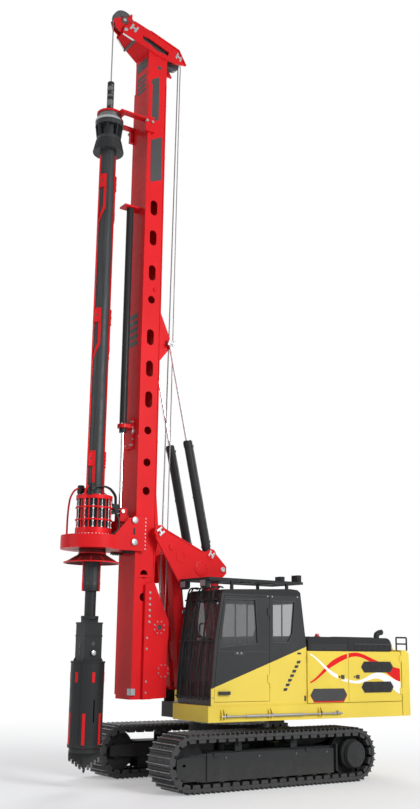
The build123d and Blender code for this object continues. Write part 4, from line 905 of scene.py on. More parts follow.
def makeHouse(settings):
    face = settings["side"]
    for side in ("left", "right"):
        makeSide(settings, side)

    # fins along the hood's sides, and the roof grille in front of it
    fins, grille = bmesh.new(), bmesh.new()
    start, end, pitch = settings["fins"]
    place = start
    while place > end:
        addBox(fins, (place - 0.010, place), (face - 0.001, face + 0.010), (1.998, 2.088))
        place -= pitch
    addBox(fins, (end - 0.02, start + 0.02), (face - 0.001, face + 0.007), (2.088, 2.104))
    addBox(fins, (-2.30, -1.52), (0.87, 0.93), (2.195, 2.212))
    mirrorForm(fins)
    addRows(fins, settings["hoodRows"], 2.195, 2.210)
    finishPiece("hood_fins", fins, "hood", "black_paint", 0.001, "blackPlastic")
    for step in range(6):
        z = 2.000 + 0.016 * step
        addBox(grille, (-1.42, -0.66), (face - 0.001, face + 0.006), (z, z + 0.007))
    mirrorForm(grille)
    addRows(grille, settings["roofRows"], 2.195, 2.208)
    finishPiece("roof_grille", grille, "upper", "black_paint", 0.001, "blackPlastic")

    foot, dome, stack = bmesh.new(), bmesh.new(), bmesh.new()
    addTurned(foot, (*settings["roofLamp"], 2.20), upward, [(0.052, -0.004), (0.052, 0.014), (0.034, 0.014)], 24)
    finishPiece("roof_lamp_foot", foot, "upper", "black_plastic", 0.002)
    profile = [(0.036, 0), (0.036, 0.022), (0.030, 0.038), (0.016, 0.047), (0.004, 0.05)]
    addTurned(dome, (*settings["roofLamp"], 2.212), upward, profile, 24)
    finishPiece("roof_lamp", dome, "upper", "red_paint", finish="lampRed")

    # rails and exhaust behind the hood
    rail = [(-2.66, 2.00), (-2.66, 2.19), (-2.66, 2.215), (-2.69, 2.215), (-2.87, 2.215), (-2.90, 2.215),
            (-2.90, 2.19), (-2.90, 2.00)]
    rails = [[(x, y, z) for x, z in run] for y in (1.12, -1.12) for run in (rail, [(-2.66, 2.11), (-2.90, 2.11)])]
    finishLine("tail_rails", rails, 0.014, "upper", "black_paint")
    x, y = settings["exhaust"]
    addTurned(stack, (x, y, 2.00), upward, [(0.085, 0), (0.085, 0.02), (0.060, 0.03), (0.060, 0.16)])
    finishPiece("exhaust_foot", stack, "upper", "black_paint", 0.003)
    pipe = [(x, y, 2.10), (x, y, 2.22), (x - 0.03, y, 2.30), (x - 0.13, y, 2.31)]
    finishLine("exhaust_pipe", [pipe], 0.05, "upper", "black_paint")

    # counterweight: lifting eyes, front seam, bolts and lamps
    weight, tail, lamps = bmesh.new(), bmesh.new(), bmesh.new()
    x, y = settings["eye"]
    outline = [(x - 0.08, 2.005), (x + 0.08, 2.005)] + arcPoints((x, 2.055), 0.06, 0, 180, 10)
    addPrism(weight, outline, "y", y - 0.02, y + 0.02)
    addCollar(weight, (x, y - 0.03, 2.06), leftward, 0.026, 0.036, 0.06, 20)
    mirrorForm(weight)
    addBox(weight, (-2.645, -2.628), (-face, face), (0.96, 2.004))
    finishPiece("counterweight_eyes", weight, "upper", "counterweight_yellow", 0.003)
    radius, (ys, zs) = settings["tailRadius"], settings["weightBolts"]
    for y in ys:
        addBolts(tail, [(0.004 - math.sqrt(radius ** 2 - y * y), y, z) for z in zs], (-1, 0, 0), 0.030)
    finishPiece("counterweight_bolts", tail, "upper", "counterweight_yellow", finish="darkSteel", side="both")
    y = settings["tailLampY"]
    x = -math.sqrt(radius ** 2 - (y + 0.06) ** 2)
    addBox(lamps, (x - 0.004, x + 0.05), (y - 0.055, y + 0.055), (1.58, 1.66))
    finishPiece("tail_lamps", lamps, "upper", "red_paint", 0.008, "lampRed", "both")


makeHouse(houseParts)
print("house done")

cabParts = {
    "side": 1.225,
    "glassY": 1.15,
    "slotStart": (-0.186, 1.393),
    "slotEnd": (-0.450, 1.800),
    "slots": 7,
    "bolts": ((1.088, 2.655), (1.150, 1.299), (-0.442, 2.800), (0.150, 2.790), (0.060, 2.790)),
    "doorStuds": ((0.726, 1.935), (0.652, 1.935)),
    "handle": ((0.865, 1.065), (1.338, 1.388)),
    "doorHoop": ((0.708, 2.008), (0.487, 2.084), 2.725),
    "rearHoop": ((0.030, 2.120), (-0.193, 2.123), 2.735),
    "doorGlass": ((1.025, 2.020), (0.930, 2.715), (0.389, 2.726), (0.340, 2.086)),
    "rearGlass": ((0.050, 2.110), (0.050, 2.720), (-0.380, 2.720), (-0.330, 2.240), (-0.250, 2.110)),
    "barYs": (0.37, 0.45, 0.66, 0.74, 0.97, 1.07),
    "barLine": ((1.225, 1.26), (1.232, 1.40), (1.172, 2.12), (1.075, 2.74), (1.045, 2.885), (0.97, 2.925),
                (0.88, 2.90)),
    "crossBars": ((1.229, 1.30), (1.174, 2.10), (1.080, 2.72)),
    # place, and 1 where the lamp looks ahead
    "lamps": ((-0.62, 0.98, 3.105, -1), (-0.62, 0.55, 3.105, -1), (1.20, 1.05, 2.955, 1), (1.20, 0.50, 2.955, 1)),
    "levers": ((0.34, 0.435, 1.83), (0.34, 1.05, 1.83)),
    "leverForm": ((0.030, 0), (0.024, 0.02), (0.012, 0.03), (0.012, 0.14), (0.024, 0.16), (0.028, 0.21),
                  (0.020, 0.25), (0.004, 0.255)),
    "screen": ((0.60, 1.925), (0.66, 1.925), (0.72, 2.16), (0.68, 2.17)),
    "inside": {
        "arm rest": ((-0.08, 0.40), (1.01, 1.09), (1.76, 1.84)),
        "left pedal": ((0.70, 1.02), (0.84, 0.92), (1.225, 1.26)),
        "right pedal": ((0.70, 1.02), (0.62, 0.70), (1.225, 1.26)),
    },
}


def addGasket(mesh, outline, low, high, width):
    # rubber strip round a window, just outside its opening
    corners = [Vector(point) for point in outline]
    middle = sum(corners, Vector((0, 0))) / len(corners)
    outer = [corner + (corner - middle).normalized() * width for corner in corners]
    for step in range(len(corners)):
        after = (step + 1) % len(corners)
        addPrism(mesh, [corners[step], corners[after], outer[after], outer[step]], "y", low, high)


def hoop(start, end, top, y):
    # bar that rises from both ends to a round top
    (x0, z0), (x1, z1) = start, end
    return [(x0, y, z0), (x0, y, top - 0.09), (x0, y, top), (x1, y, top), (x1, y, top - 0.09), (x1, y, z1)]


def makeCab(settings):
    face, y = settings["side"], settings["glassY"]
    marks, bolts, door, studs = (bmesh.new() for step in range(4))
    (x0, z0), (x1, z1) = settings["slotStart"], settings["slotEnd"]
    for step in range(settings["slots"]):
        share = step / (settings["slots"] - 1)
        x, z = x0 + (x1 - x0) * share, z0 + (z1 - z0) * share
        # each vent slot is a thin black sheet, painted shade for its dark recess, under a raised black lip
        outline = [(x + 0.040, z - 0.014), (x + 0.030, z + 0.012), (x - 0.040, z + 0.014), (x - 0.030, z - 0.012)]
        raised = [(px, pz + 0.016) for px, pz in outline[1:3]]
        addPrism(marks, outline, "y", face - 0.002, face + 0.002)
        addPrism(marks, raised + [outline[2], outline[1]], "y", face - 0.001, face + 0.009)
    addPrism(marks, sixSided((-0.505, -0.425), (1.924, 1.954)), "y", face - 0.001, face + 0.006)
    addBox(marks, (-0.590, -0.560), (face - 0.001, face + 0.008), (1.225, 1.305))
    addGasket(marks, settings["rearGlass"], face - 0.001, face + 0.004, 0.018)
    finishPiece("cab_side_marks", marks, "upper", "black_plastic", 0.001)
    for x, z in settings["bolts"]:
        addTurned(bolts, (x, face - 0.001, z), leftward, [(0.013, 0), (0.013, 0.004), (0.007, 0.009)], 16)
    finishPiece("cab_bolts", bolts, "upper", "bright_steel")

    # door: rubber round the pane, seal line, grab handle, lock studs
    addGasket(door, settings["doorGlass"], face - 0.001, face + 0.004, 0.020)
    addBox(door, (0.128, 1.055), (face - 0.001, face + 0.003), (1.952, 1.962))
    (low, high), (bottom, top) = settings["handle"]
    addBox(door, (low, high), (face + 0.012, face + 0.042), (bottom, top))
    for step in range(9):
        x = low + 0.02 + step * 0.019
        addBox(door, (x, x + 0.008), (face + 0.040, face + 0.046), (bottom + 0.006, top - 0.006))
    addBox(door, (0.60, 0.78), (face - 0.001, face + 0.006), (1.905, 1.950))
    finishPiece("door_trim", door, "cab_door", "black_plastic", 0.002)
    for x, z in settings["doorStuds"]:
        addTurned(studs, (x, face + 0.005, z), leftward, [(0.015, 0), (0.015, 0.006), (0.009, 0.012)], 18)
    finishPiece("door_studs", studs, "cab_door", "bright_steel")
    finishLine("door_hoop", [hoop(*settings["doorHoop"], y)], 0.011, "cab_door", "black_paint")
    grip = [(x, y - 0.04, z) for x, z in ((0.62, 1.99), (0.61, 2.06), (0.56, 2.10), (0.50, 2.06), (0.49, 1.99))]
    finishLine("door_grip", [grip], 0.013, "cab_door", "black_paint")
    finishLine("rear_hoop", [hoop(*settings["rearHoop"], y - 0.01)], 0.011, "upper", "black_paint")

    # guard bars before the windscreen
    bars = [[(x, y, z) for x, z in settings["barLine"]] for y in settings["barYs"]]
    for x, z in settings["crossBars"]:
        bars.append([(x, 0.33, z), (x, 0.37, z), (x, 1.07, z), (x, 1.13, z), (x - 0.03, 1.17, z)])
    finishLine("windscreen_guard", bars, 0.013, "upper", "black_paint")
    wiper = [[(1.178, 0.78, 1.50), (1.160, 0.82, 1.75), (1.135, 0.86, 2.12)],
             [(1.175, 0.78, 1.47), (1.16, 0.78, 1.46), (1.13, 0.78, 1.46)]]
    finishLine("wiper", wiper, 0.008, "upper", "black_plastic")

    lamps, glasses, controls = bmesh.new(), bmesh.new(), bmesh.new()
    for x, y, z, way in settings["lamps"]:
        addBoxOn(lamps, (x, y, z), (0.045, 0.075, 0.055))
        addBox(lamps, (x - 0.02, x + 0.02), (y - 0.085, y + 0.085), (z - 0.075, z + 0.01))
        addBoxOn(glasses, (x + way * 0.047, y, z), (0.003, 0.064, 0.044))
    finishPiece("work_lamps", lamps, "upper", "black_paint", 0.006)
    finishPiece("work_lamp_glasses", glasses, "upper", "bright_steel", 0.003, "lampClear")
    for place in settings["levers"]:
        addTurned(controls, place, (0.15, 0, 1), settings["leverForm"], 20)
    addPrism(controls, settings["screen"], "y", 0.36, 0.60)
    for sizes in settings["inside"].values():
        addBox(controls, *sizes)
    finishPiece("cab_controls", controls, "upper", "black_plastic", 0.006)


makeCab(cabParts)

seatParts = {
    # middle, half sizes, lean about y
    "pads": {
        "cushion": ((0.14, 0.76, 1.615), (0.26, 0.24, 0.065), 0.0),
        "back": ((-0.085, 0.76, 2.02), (0.055, 0.23, 0.33), -0.10),
        "head": ((-0.125, 0.76, 2.37), (0.045, 0.13, 0.07), -0.12),
    },
    "cells": 26,
    "crown": 0.22,
    "seam": (0.52, 0.07, 0.16),  # place of the two sewn lines, their reach and depth
    "fill": 0.75,
    "base": {
        "floor plate": ((-0.04, 0.34), (0.57, 0.95), (1.225, 1.29)),
        "pan": ((-0.09, 0.36), (0.54, 0.98), (1.47, 1.555)),
    },
}


def addPad(mesh, middle, half, lean, settings):
    # crowned form: full in the middle, drawn in at the corners and along two sewn lines
    grid = bmesh.new()
    bmesh.ops.create_cube(grid, size=2)
    bmesh.ops.subdivide_edges(grid, edges=grid.edges, cuts=settings["cells"], use_grid_fill=True)
    thin = half.index(min(half))
    wide = [axis for axis in range(3) if axis != thin]
    turn = Matrix.Rotation(lean, 4, "Y")
    seam, reach, depth = settings["seam"]
    for vert in grid.verts:
        u = list(vert.co)
        length = sum(abs(value) ** 4 for value in u) ** 0.25
        shape = [value / length for value in u]
        across = (1 - abs(u[wide[0]]) ** 2.5) * (1 - abs(u[wide[1]]) ** 2.5)
        shape[thin] *= 1 - settings["crown"] + settings["crown"] * across
        for line in (-seam, seam):
            gap = abs(u[1] - line)
            if abs(u[thin]) > 0.9 and gap < reach:
                shape[thin] *= 1 - depth * (1 - gap / reach)
        vert.co = turn @ Vector([value * size for value, size in zip(shape, half)]) + Vector(middle)
    part = bpy.data.meshes.new("pad")
    grid.to_mesh(part)
    grid.free()
    mesh.from_mesh(part)
    bpy.data.meshes.remove(part)


def makeSeat(settings):
    pads, base = bmesh.new(), bmesh.new()
    for sizes in settings["pads"].values():
        addPad(pads, *sizes, settings)
    soft = finishPiece("seat_pads", pads, "upper", "seat_fabric")
    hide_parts("operator_seat")
    for sizes in settings["base"].values():
        addBox(base, *sizes)
    for step in range(5):  # folds of the bellows
        z, inset = 1.29 + step * 0.035, 0.006 * (step % 2)
        addBox(base, (-0.02 + inset, 0.32 - inset), (0.59, 0.93), (z, z + 0.030))
    addPrism(base, [(-0.10, 1.50), (-0.06, 1.50), (-0.135, 2.28), (-0.165, 2.28)], "y", 0.56, 0.96)
    for y in (0.71, 0.81):
        addTurned(base, (-0.150, y, 2.26), (-0.10, 0, 1), [(0.007, 0), (0.007, 0.09)], 10)
    finishPiece("seat_base", base, "upper", "black_plastic", 0.004)


makeSeat(seatParts)

tankParts = {
    "side": -1.23,
    "top": 1.96,
    "tankX": (-0.590, -0.175),
    "filler": [(0.075, -0.002), (0.075, 0.02), (0.06, 0.03), (0.06, 0.055), (0.052, 0.06)],
    "stepZs": (1.30, 1.48),
    "catchX": (-0.08, 0.20),
    "treads": 7,
    "rail": (-0.55, -0.20, 2.42),
}


def makeRightSide(settings):
    # filler, level gauge, steps and hand rail on the fuel tank; catches and treads on the tool box
    side, top = settings["side"], settings["top"]
    trim, lid = bmesh.new(), bmesh.new()
    addTurned(trim, (-0.38, -0.95, top), upward, settings["filler"], 28)
    addBox(trim, (-0.23, -0.20), (side - 0.012, side + 0.002), (1.30, 1.80))
    for z in settings["stepZs"]:
        addBox(trim, (-0.52, -0.30), (side - 0.018, side + 0.002), (z, z + 0.030))
    for x in settings["catchX"]:
        addBox(trim, (x, x + 0.06), (side - 0.014, side + 0.002), (1.53, 1.60))
        addBox(lid, (x + 0.008, x + 0.052), (side - 0.016, side - 0.001), (1.642, 1.668))
    addBox(trim, settings["tankX"], (-1.20, -0.38), (top - 0.005, top + 0.006))
    finishPiece("right_side_trim", trim, "upper", "black_plastic", 0.003)
    for step in range(settings["treads"]):
        x = -0.12 + step * 0.062
        addBox(lid, (x, x + 0.035), (-1.15, -0.43), (1.668, 1.676))
    finishPiece("lid_treads", lid, "tool_box_lid", "black_paint", 0.002)
    rear, front, high = settings["rail"]
    line = [(rear, top - 0.01), (rear, 2.30), (rear, high), (rear + 0.08, high), (front - 0.08, high), (front, high),
            (front, 2.30), (front, top - 0.01)]
    rails = [[(x, -1.19, z) for x, z in run] for run in (line, [(rear, 2.19), (front, 2.19)])]
    finishLine("tank_rail", rails, 0.016, "upper", "black_paint")


makeRightSide(tankParts)
print("cab and right side done")

mastParts = {
    "face": 0.220,
    "panels": (
        ((1.745, 11.705), (1.897, 11.605), (1.897, 10.790), (1.740, 10.873)),
        ((1.662, 10.577), (1.885, 10.451), (1.870, 9.674), (1.652, 9.768)),
    ),
    "ladders": ((11.42, 11.78, 4), (6.80, 7.38, 5)),  # from, to, steps
    "seams": (10.62, 9.55, 8.36, 5.60, 4.00),
    "drums": ((1.517, 2.303, 0.10), (1.430, 1.657, 0.085)),  # place and radius of the case on the far end
    "drumBolts": (0.092, 8),
    "boltColumn": (1.695, 2.38, 2.82, 6),
    "footBolts": (1.34, 1.50, 1.98, 2.14),
    "hook": (1.725, 7.779),
    "crowdFoot": (2.118, 5.460),
    "plates": {
        "front": ((1.969, 1.980), (0.150, 0.255), (1.302, 1.400)),
        "side": ((1.905, 1.980), (0.254, 0.264), (1.302, 1.400)),
    },
    "pipeYs": (-0.17, -0.13, 0.13, 0.17),
}


def makeMast(settings):
    face = settings["face"]
    panels, dark, weld, bolts = (bmesh.new() for step in range(4))
    for outline in settings["panels"]:
        addPrism(panels, outline, "y", face - 0.001, face + 0.004)
    finishPiece("mast_blank_panels", panels, "mast", "black_paint", 0.001, "blackPlastic", "both")

    upper = settings["drums"][0]
    # black discs on the drum's end and near the top, and the ladder of thin black boxes on the front face, are
    # painted shade for the dark inside of holes and openings
    addTurned(dark, (upper[0], 0.279, upper[1]), leftward, [(0.040, 0), (0.040, 0.003)], 24)
    addTurned(dark, (1.750, face - 0.002, 11.884), leftward, [(0.036, 0), (0.036, 0.004), (0.030, 0.004)], 24)
    mirrorForm(dark)
    for bottom, top, count in settings["ladders"]:
        pitch = (top - bottom) / count
        for step in range(count):
            z = bottom + step * pitch
            addBox(dark, (1.969, 1.972), (-0.15, 0.12), (z, z + pitch * 0.7))
    finishPiece("mast_openings", dark, "mast", "black_paint", finish="blackPlastic")

    # seams, collar of the upper drum, flange edges and stiffeners of the foot
    for z in settings["seams"]:
        addBox(weld, (1.599, 1.898), (face - 0.001, face + 0.002), (z, z + 0.012))
    collar = [(0.040, -0.002), (0.072, -0.002), (0.072, 0.008), (0.040, 0.010)]
    addTurned(weld, (upper[0], 0.280, upper[1]), leftward, collar, 36, True)
    addBox(weld, (1.60, 1.618), (face - 0.001, face + 0.012), (3.05, 11.60))
    addBox(weld, (1.61, 1.90), (face, face + 0.014), (3.05, 3.09))
    x, z = settings["hook"]
    hook = arcPoints((x, z), 0.022, 0, 180, 8) + [(x - 0.022, z - 0.039), (x + 0.022, z - 0.039)]
    addPrism(weld, hook, "y", face, face + 0.02)
    mirrorForm(weld)
    for z in settings["seams"]:
        addBox(weld, (1.969, 1.973), (-0.19, 0.19), (z, z + 0.012))
    finishPiece("mast_weld_plates", weld, "mast", "red_paint", 0.002)

    x, low, high, count = settings["boltColumn"]
    column = [(x, 0.275, low + (high - low) * step / (count - 1)) for step in range(count)]
    addBolts(bolts, column, leftward, 0.017)
    addBolts(bolts, [(1.73, 0.275, z) for z in settings["footBolts"]], leftward, 0.015)
    for x, z, radius in settings["drums"]:
        addBolts(bolts, ringPlaces((x, 0.280, z), *settings["drumBolts"], "y", 0.5), leftward, 0.011)
    mirrorForm(bolts)
    # foot of the crowd cylinder
    addBolts(bolts, [(2.010, y, z) for z in (5.13, 5.51) for y in (-0.075, 0.075)], ahead, 0.016)
    addBolts(bolts, [(1.99, 0.100, 5.13 + step * 0.095) for step in range(5)], leftward, 0.014)
    addPin(bolts, (1.99, 0.100, 5.35), 0.034, 0.03)
    x, z = settings["crowdFoot"]
    addBolts(bolts, ringPlaces((x, 0, z), 0.075, 4, "z", 0.5), upward, 0.013)
    finishPiece("mast_bolts", bolts, "mast", "bright_steel")

    # winch motors and gear cases on the far ends of the drums
    motors, foot, clamps = bmesh.new(), bmesh.new(), bmesh.new()
    for x, z, radius in settings["drums"]:
        pairs = ((1, 0), (1, 0.05), (0.8, 0.07), (0.8, 0.16), (0.55, 0.18), (0.55, 0.26), (0.4, 0.275))
        case = [(radius * share, along) for share, along in pairs]
        addTurned(motors, (x, -0.280, z), (0, -1, 0), case, 36)
        addBox(motors, (x - 0.035, x + 0.035), (-0.53, -0.47), (z + 0.03, z + 0.10))
    finishPiece("winch_motors", motors, "mast", "black_paint", 0.003)
    for sizes in settings["plates"].values():
        addBox(foot, *sizes)
    finishPiece("mast_foot_plates", foot, "mast", "pale_steel", 0.003)

    # pipes up the rear face, with their clamps
    runs = [[(1.585, y, z) for z in (3.10, 3.40, 11.30, 11.60)] for y in settings["pipeYs"]]
    finishLine("mast_pipes", runs, 0.009, "mast", "black_plastic", "rubber")
    for z in range(4, 12):
        addBox(clamps, (1.568, 1.598), (0.115, 0.185), (z + 0.2, z + 0.235))
    finishPiece("pipe_blocks", clamps, "mast", "black_plastic", 0.003, side="both")


makeMast(mastParts)

headParts = {
    "cheek": 0.250,
    "taper": (1.970, 0.28),
    "keepers": ((2.258, 12.500, 0.5), (1.378, 12.212, 0.4)),
    "pins": ((2.390, 0.060, 12.670), (2.395, 0.131, 12.440)),
    "rim": ((1.970, 12.520), (1.374, 12.357), (1.220, 12.102)),
    "innerPlate": ((1.530, 12.172), (1.965, 12.172), (2.135, 12.310), (2.135, 12.520), (1.530, 12.360)),
    "opening": ((1.969, 1.973), (-0.17, 0.17), (11.86, 12.05)),
    "bolts": ((1.66, 12.32), (1.52, 12.30), (1.40, 12.11), (1.72, 12.13)),
    "capBolts": (0.056, 6),
    "rodStart": (2.430, 0.100, 12.371),
    "rodEnd": (2.245, 0.172, 12.256),
}


def makeHead(settings):
    cheek, (bend, slope) = settings["cheek"], settings["taper"]
    keepers, edges, dark, bolts, cross = (bmesh.new() for step in range(5))
    for x, z, turn in settings["keepers"]:
        addKeeper(keepers, (x, cheek, z), turn)
    for vert in keepers.verts:  # the front keeper lies on the narrowing cheek
        if vert.co.x > bend:
            vert.co.y -= slope * (vert.co.x - bend)
    for place in settings["pins"]:
        addPin(keepers, place, 0.034, 0.022)
    # raised flange round the rear of the head's cheek
    for start, end in zip(settings["rim"], settings["rim"][1:]):
        start, end = Vector(start), Vector(end)
        along = (end - start).normalized() * 0.022
        inner = Vector((-along.y, along.x))
        addPrism(edges, [start, end, end + inner, start + inner], "y", cheek - 0.002, cheek + 0.018)
    # black plate inside the cheeks and black sheet on the neck's front face: painted shade for the shaded inside of
    # the head and the neck opening; the black cap on the sheave pin is a part
    addPrism(dark, settings["innerPlate"], "y", 0.168, 0.180)
    x, y, z = settings["pins"][0]
    addTurned(dark, (x, y, z), leftward, [(0.075, -0.002), (0.075, 0.006), (0.066, 0.009)])
    mirrorForm(dark)
    addBox(dark, *settings["opening"])
    addBolts(bolts, ringPlaces((x, y + 0.008, z), *settings["capBolts"], "y", 0.5), leftward, 0.008)
    addBolts(bolts, [(x, cheek, z) for x, z in settings["bolts"]], leftward, 0.013)
    finishPiece("head_keepers", keepers, "mast", "bright_steel", 0.002, side="both")
    finishPiece("head_flanges", edges, "mast", "red_paint", 0.002, side="both")
    finishPiece("head_dark_fittings", dark, "mast", "black_paint", finish="blackPlastic")
    finishPiece("head_bolts", bolts, "mast", "red_paint", side="both")
    start, end = settings["rodStart"], settings["rodEnd"]
    finishLine("rope_guide_rod", [[start, end], mirrored([start, end])], 0.015, "mast", "chrome_rod")
    addTurned(cross, (end[0], -end[1], end[2]), leftward, [(0.022, -0.012), (0.022, 2 * end[1] + 0.012)], 18)
    finishPiece("rope_guide_rollers", cross, "mast", "black_paint", 0.004, "castGrey")


makeHead(headParts)

sheaveParts = {"front_sheave": (2.390, 12.670, 0.200), "rear_sheave": (1.385, 12.205, 0.150)}


def makeSheaves(settings):
    for name, (x, z, radius) in settings.items():
        faces = bmesh.new()
        rim = [(radius - 0.004, -0.004), (radius - 0.004, 0.004), (radius - 0.030, 0.006), (radius - 0.038, -0.003)]
        addTurned(faces, (x, 0.035, z), leftward, rim, 56, True)
        hub = [(0.062, 0), (0.062, 0.008), (0.055, 0.012), (0.034, 0.012), (0.034, 0)]
        addTurned(faces, (x, 0.034, z), leftward, hub, 32, True)
        for step in range(6):
            outline = spokeOutline((x, z), math.pi * step / 3, 0.055, radius - 0.032, 0.012)
            addPrism(faces, outline, "y", 0.033, 0.041)
        finishPiece(f"{name}_ribs", faces, name, "sheave_grey", 0.001, side="both")


makeSheaves(sheaveParts)

ropeParts = {
    "radius": 0.011,
    "kellyLow": 6.6,
    "drums": {"main_winch_drum": (1.517, 2.303, 0.120), "auxiliary_winch_drum": (1.430, 1.657, 0.070)},
    "frontTurns": (0, 22, 45, 70, 95, 115),
    "rearTurns": (115, 135, 155, 180),
    "pitch": 0.022,
    "coilHalf": 0.165,
    "auxiliaryTop": ((1.30, 0.11, 3.3), (1.26, 0.11, 11.9), (1.24, 0.10, 12.15), (1.30, 0.09, 12.30),
                     (1.42, 0.09, 12.33)),
}


def roundSheave(x, z, radius, turns):
    angles = [math.radians(turn) for turn in turns]
    return [(x + radius * math.cos(a), 0, z + radius * math.sin(a)) for a in angles]


def makeRopes(settings):
    radius = settings["radius"]
    (frontX, frontZ, _), (rearX, rearZ, rearR) = sheaveParts["front_sheave"], sheaveParts["rear_sheave"]
    back = rearR + 0.001
    main = [(kellyAxis, 0, z) for z in (settings["kellyLow"], 11.0, frontZ - 0.3)]
    over = roundSheave(frontX, frontZ, kellyAxis - frontX, settings["frontTurns"])
    behind = roundSheave(rearX, rearZ, back, settings["rearTurns"])
    x, z, core = settings["drums"]["main_winch_drum"]
    down = [(rearX - back, 0, rearZ - 0.3), (x - core - 0.03, 0.03, z + 0.25), (x - core - 0.016, 0.03, z)]
    finishLine("kelly_rope", [main + over + behind + down], radius, "mast", "bright_steel", "wireRope")
    x, z, core = settings["drums"]["auxiliary_winch_drum"]
    start = x - core - 0.012
    second = [(start, 0.11, z), (start, 0.11, z + 0.2), *settings["auxiliaryTop"]]
    finishLine("auxiliary_rope", [second], radius * 0.8, "mast", "bright_steel", "wireRope")
    half, pitch = settings["coilHalf"], settings["pitch"]
    for name, (x, z, core) in settings["drums"].items():
        coil, profile = bmesh.new(), [(core + 0.002, -half - 0.003)]
        for step in range(int(2 * half / pitch)):
            for proud, share in ((0.004, 0), (0.017, 0.005), (0.022, 0.011), (0.017, 0.017)):
                profile.append((core + proud, -half + pitch * step + share))
        profile.append((core + 0.002, half + 0.003))
        addTurned(coil, (x, 0, z), leftward, profile, 40)
        finishPiece(f"{name}_rope", coil, name, "bright_steel", finish="wireRope")


makeRopes(ropeParts)
print("mast, head and ropes done")

liftParts = {
    # name: body, foot, eye, radius and length of the barrel, y of each cylinder
    "cylinders": {
        "mast_cylinder": ("mast_barrels", (0.640, 3.460), (1.429, 6.872), 0.069, 1.870, (0.270, -0.270)),
        "luff_cylinder": ("luff_barrel", (-0.450, 1.330), (1.020, 2.550), 0.058, 1.250, (0,)),
    },
    "eyeKeeper": (1.429, 0.305, 6.872),
    # place, turn, size
    "supportKeepers": (((1.610, 0.397, 3.760), 0.9, 0.056), ((0.640, 0.385, 3.460), 0.5, 0.05)),
    "supportPin": (0.416, 0.386, 3.232),
    # place and radii of the boss rings
    "rings": ((1.610, 3.760, 0.062, 0.098), (0.640, 3.460, 0.055, 0.088), (1.215, 3.395, 0.060, 0.092)),
    "tubeCover": (0.825, 0.389, 3.231),
    "coverBolts": (0.093, 8),
    # start and end of the cheek's stiffeners, with their width to the right of that way
    "stiffeners": (((0.800, 3.500), (1.530, 3.810), 0.018), ((0.45, 3.105), (1.235, 3.018), -0.018)),
    "armFoot": (1.000, 1.450),
    "armHead": (1.215, 3.395),
    "armPlates": (0.25, 0.80, 1.35),
    "armPin": (1.020, 0.199, 2.550),
    "pipeYs": (-0.185, -0.155, 0.155, 0.185),
    "pipeSpan": (0.25, 1.55),
    # place and radius
    "feet": ((1.000, 0.235, 1.450, 0.048), (0.201, 0.180, 1.287, 0.042), (-0.450, 0.080, 1.330, 0.042)),
}


def alongBar(start, end, distance, across=0.0):
    # point (x, z) at a distance from start towards end, and to its left
    way = Vector((end[0] - start[0], end[1] - start[1])).normalized()
    return (start[0] + way.x * distance - way.y * across, start[1] + way.y * distance + way.x * across), way


def dressCylinder(name, body, start, end, radius, length, ys):
    # gland, foot collar, clamps and a hard pipe on a cylinder's barrel
    fittings, nuts, pipes = bmesh.new(), bmesh.new(), []
    collars = ((length - 0.10, 0.085, 0.007), (length - 0.005, 0.014, -0.012), (0.115, 0.05, 0.008),
               (length * 0.5, 0.03, 0.006))
    run = ((0.16, 0.6), (0.20, 1.0), (0.30, 1.0), (length * 0.6, 1.0), (length - 0.16, 1.0), (length - 0.09, 0.9),
           (length - 0.07, 0.6))
    for y in ys:
        for distance, width, proud in collars:
            (x, z), way = alongBar(start, end, distance)
            addTurned(fittings, (x, y, z), (way.x, 0, way.y), [(radius + proud, 0), (radius + proud, width)], 36)
        (x, z), way = alongBar(start, end, length - 0.015)
        for a, b, flat in ringPlaces((0, 0, 0), radius - 0.014, 8):
            addBolt(nuts, (x - way.y * a, y + b, z + way.x * a), (way.x, 0, way.y), 0.009)
        places = [alongBar(start, end, distance, (radius + 0.016) * away)[0] for distance, away in run]
        pipes.append([(x, y, z) for x, z in places])
        for distance in (0.20, length - 0.10):
            (x, z), way = alongBar(start, end, distance, radius)
            addBoxOn(fittings, (x, y, z), (0.02, 0.022, 0.025))
    finishPiece(f"{name}_collars", fittings, body, "black_paint", 0.002)
    finishPiece(f"{name}_nuts", nuts, body, "bright_steel", finish="darkSteel")
    finishLine(f"{name}_pipes", pipes, 0.010, body, "black_plastic", "rubber")


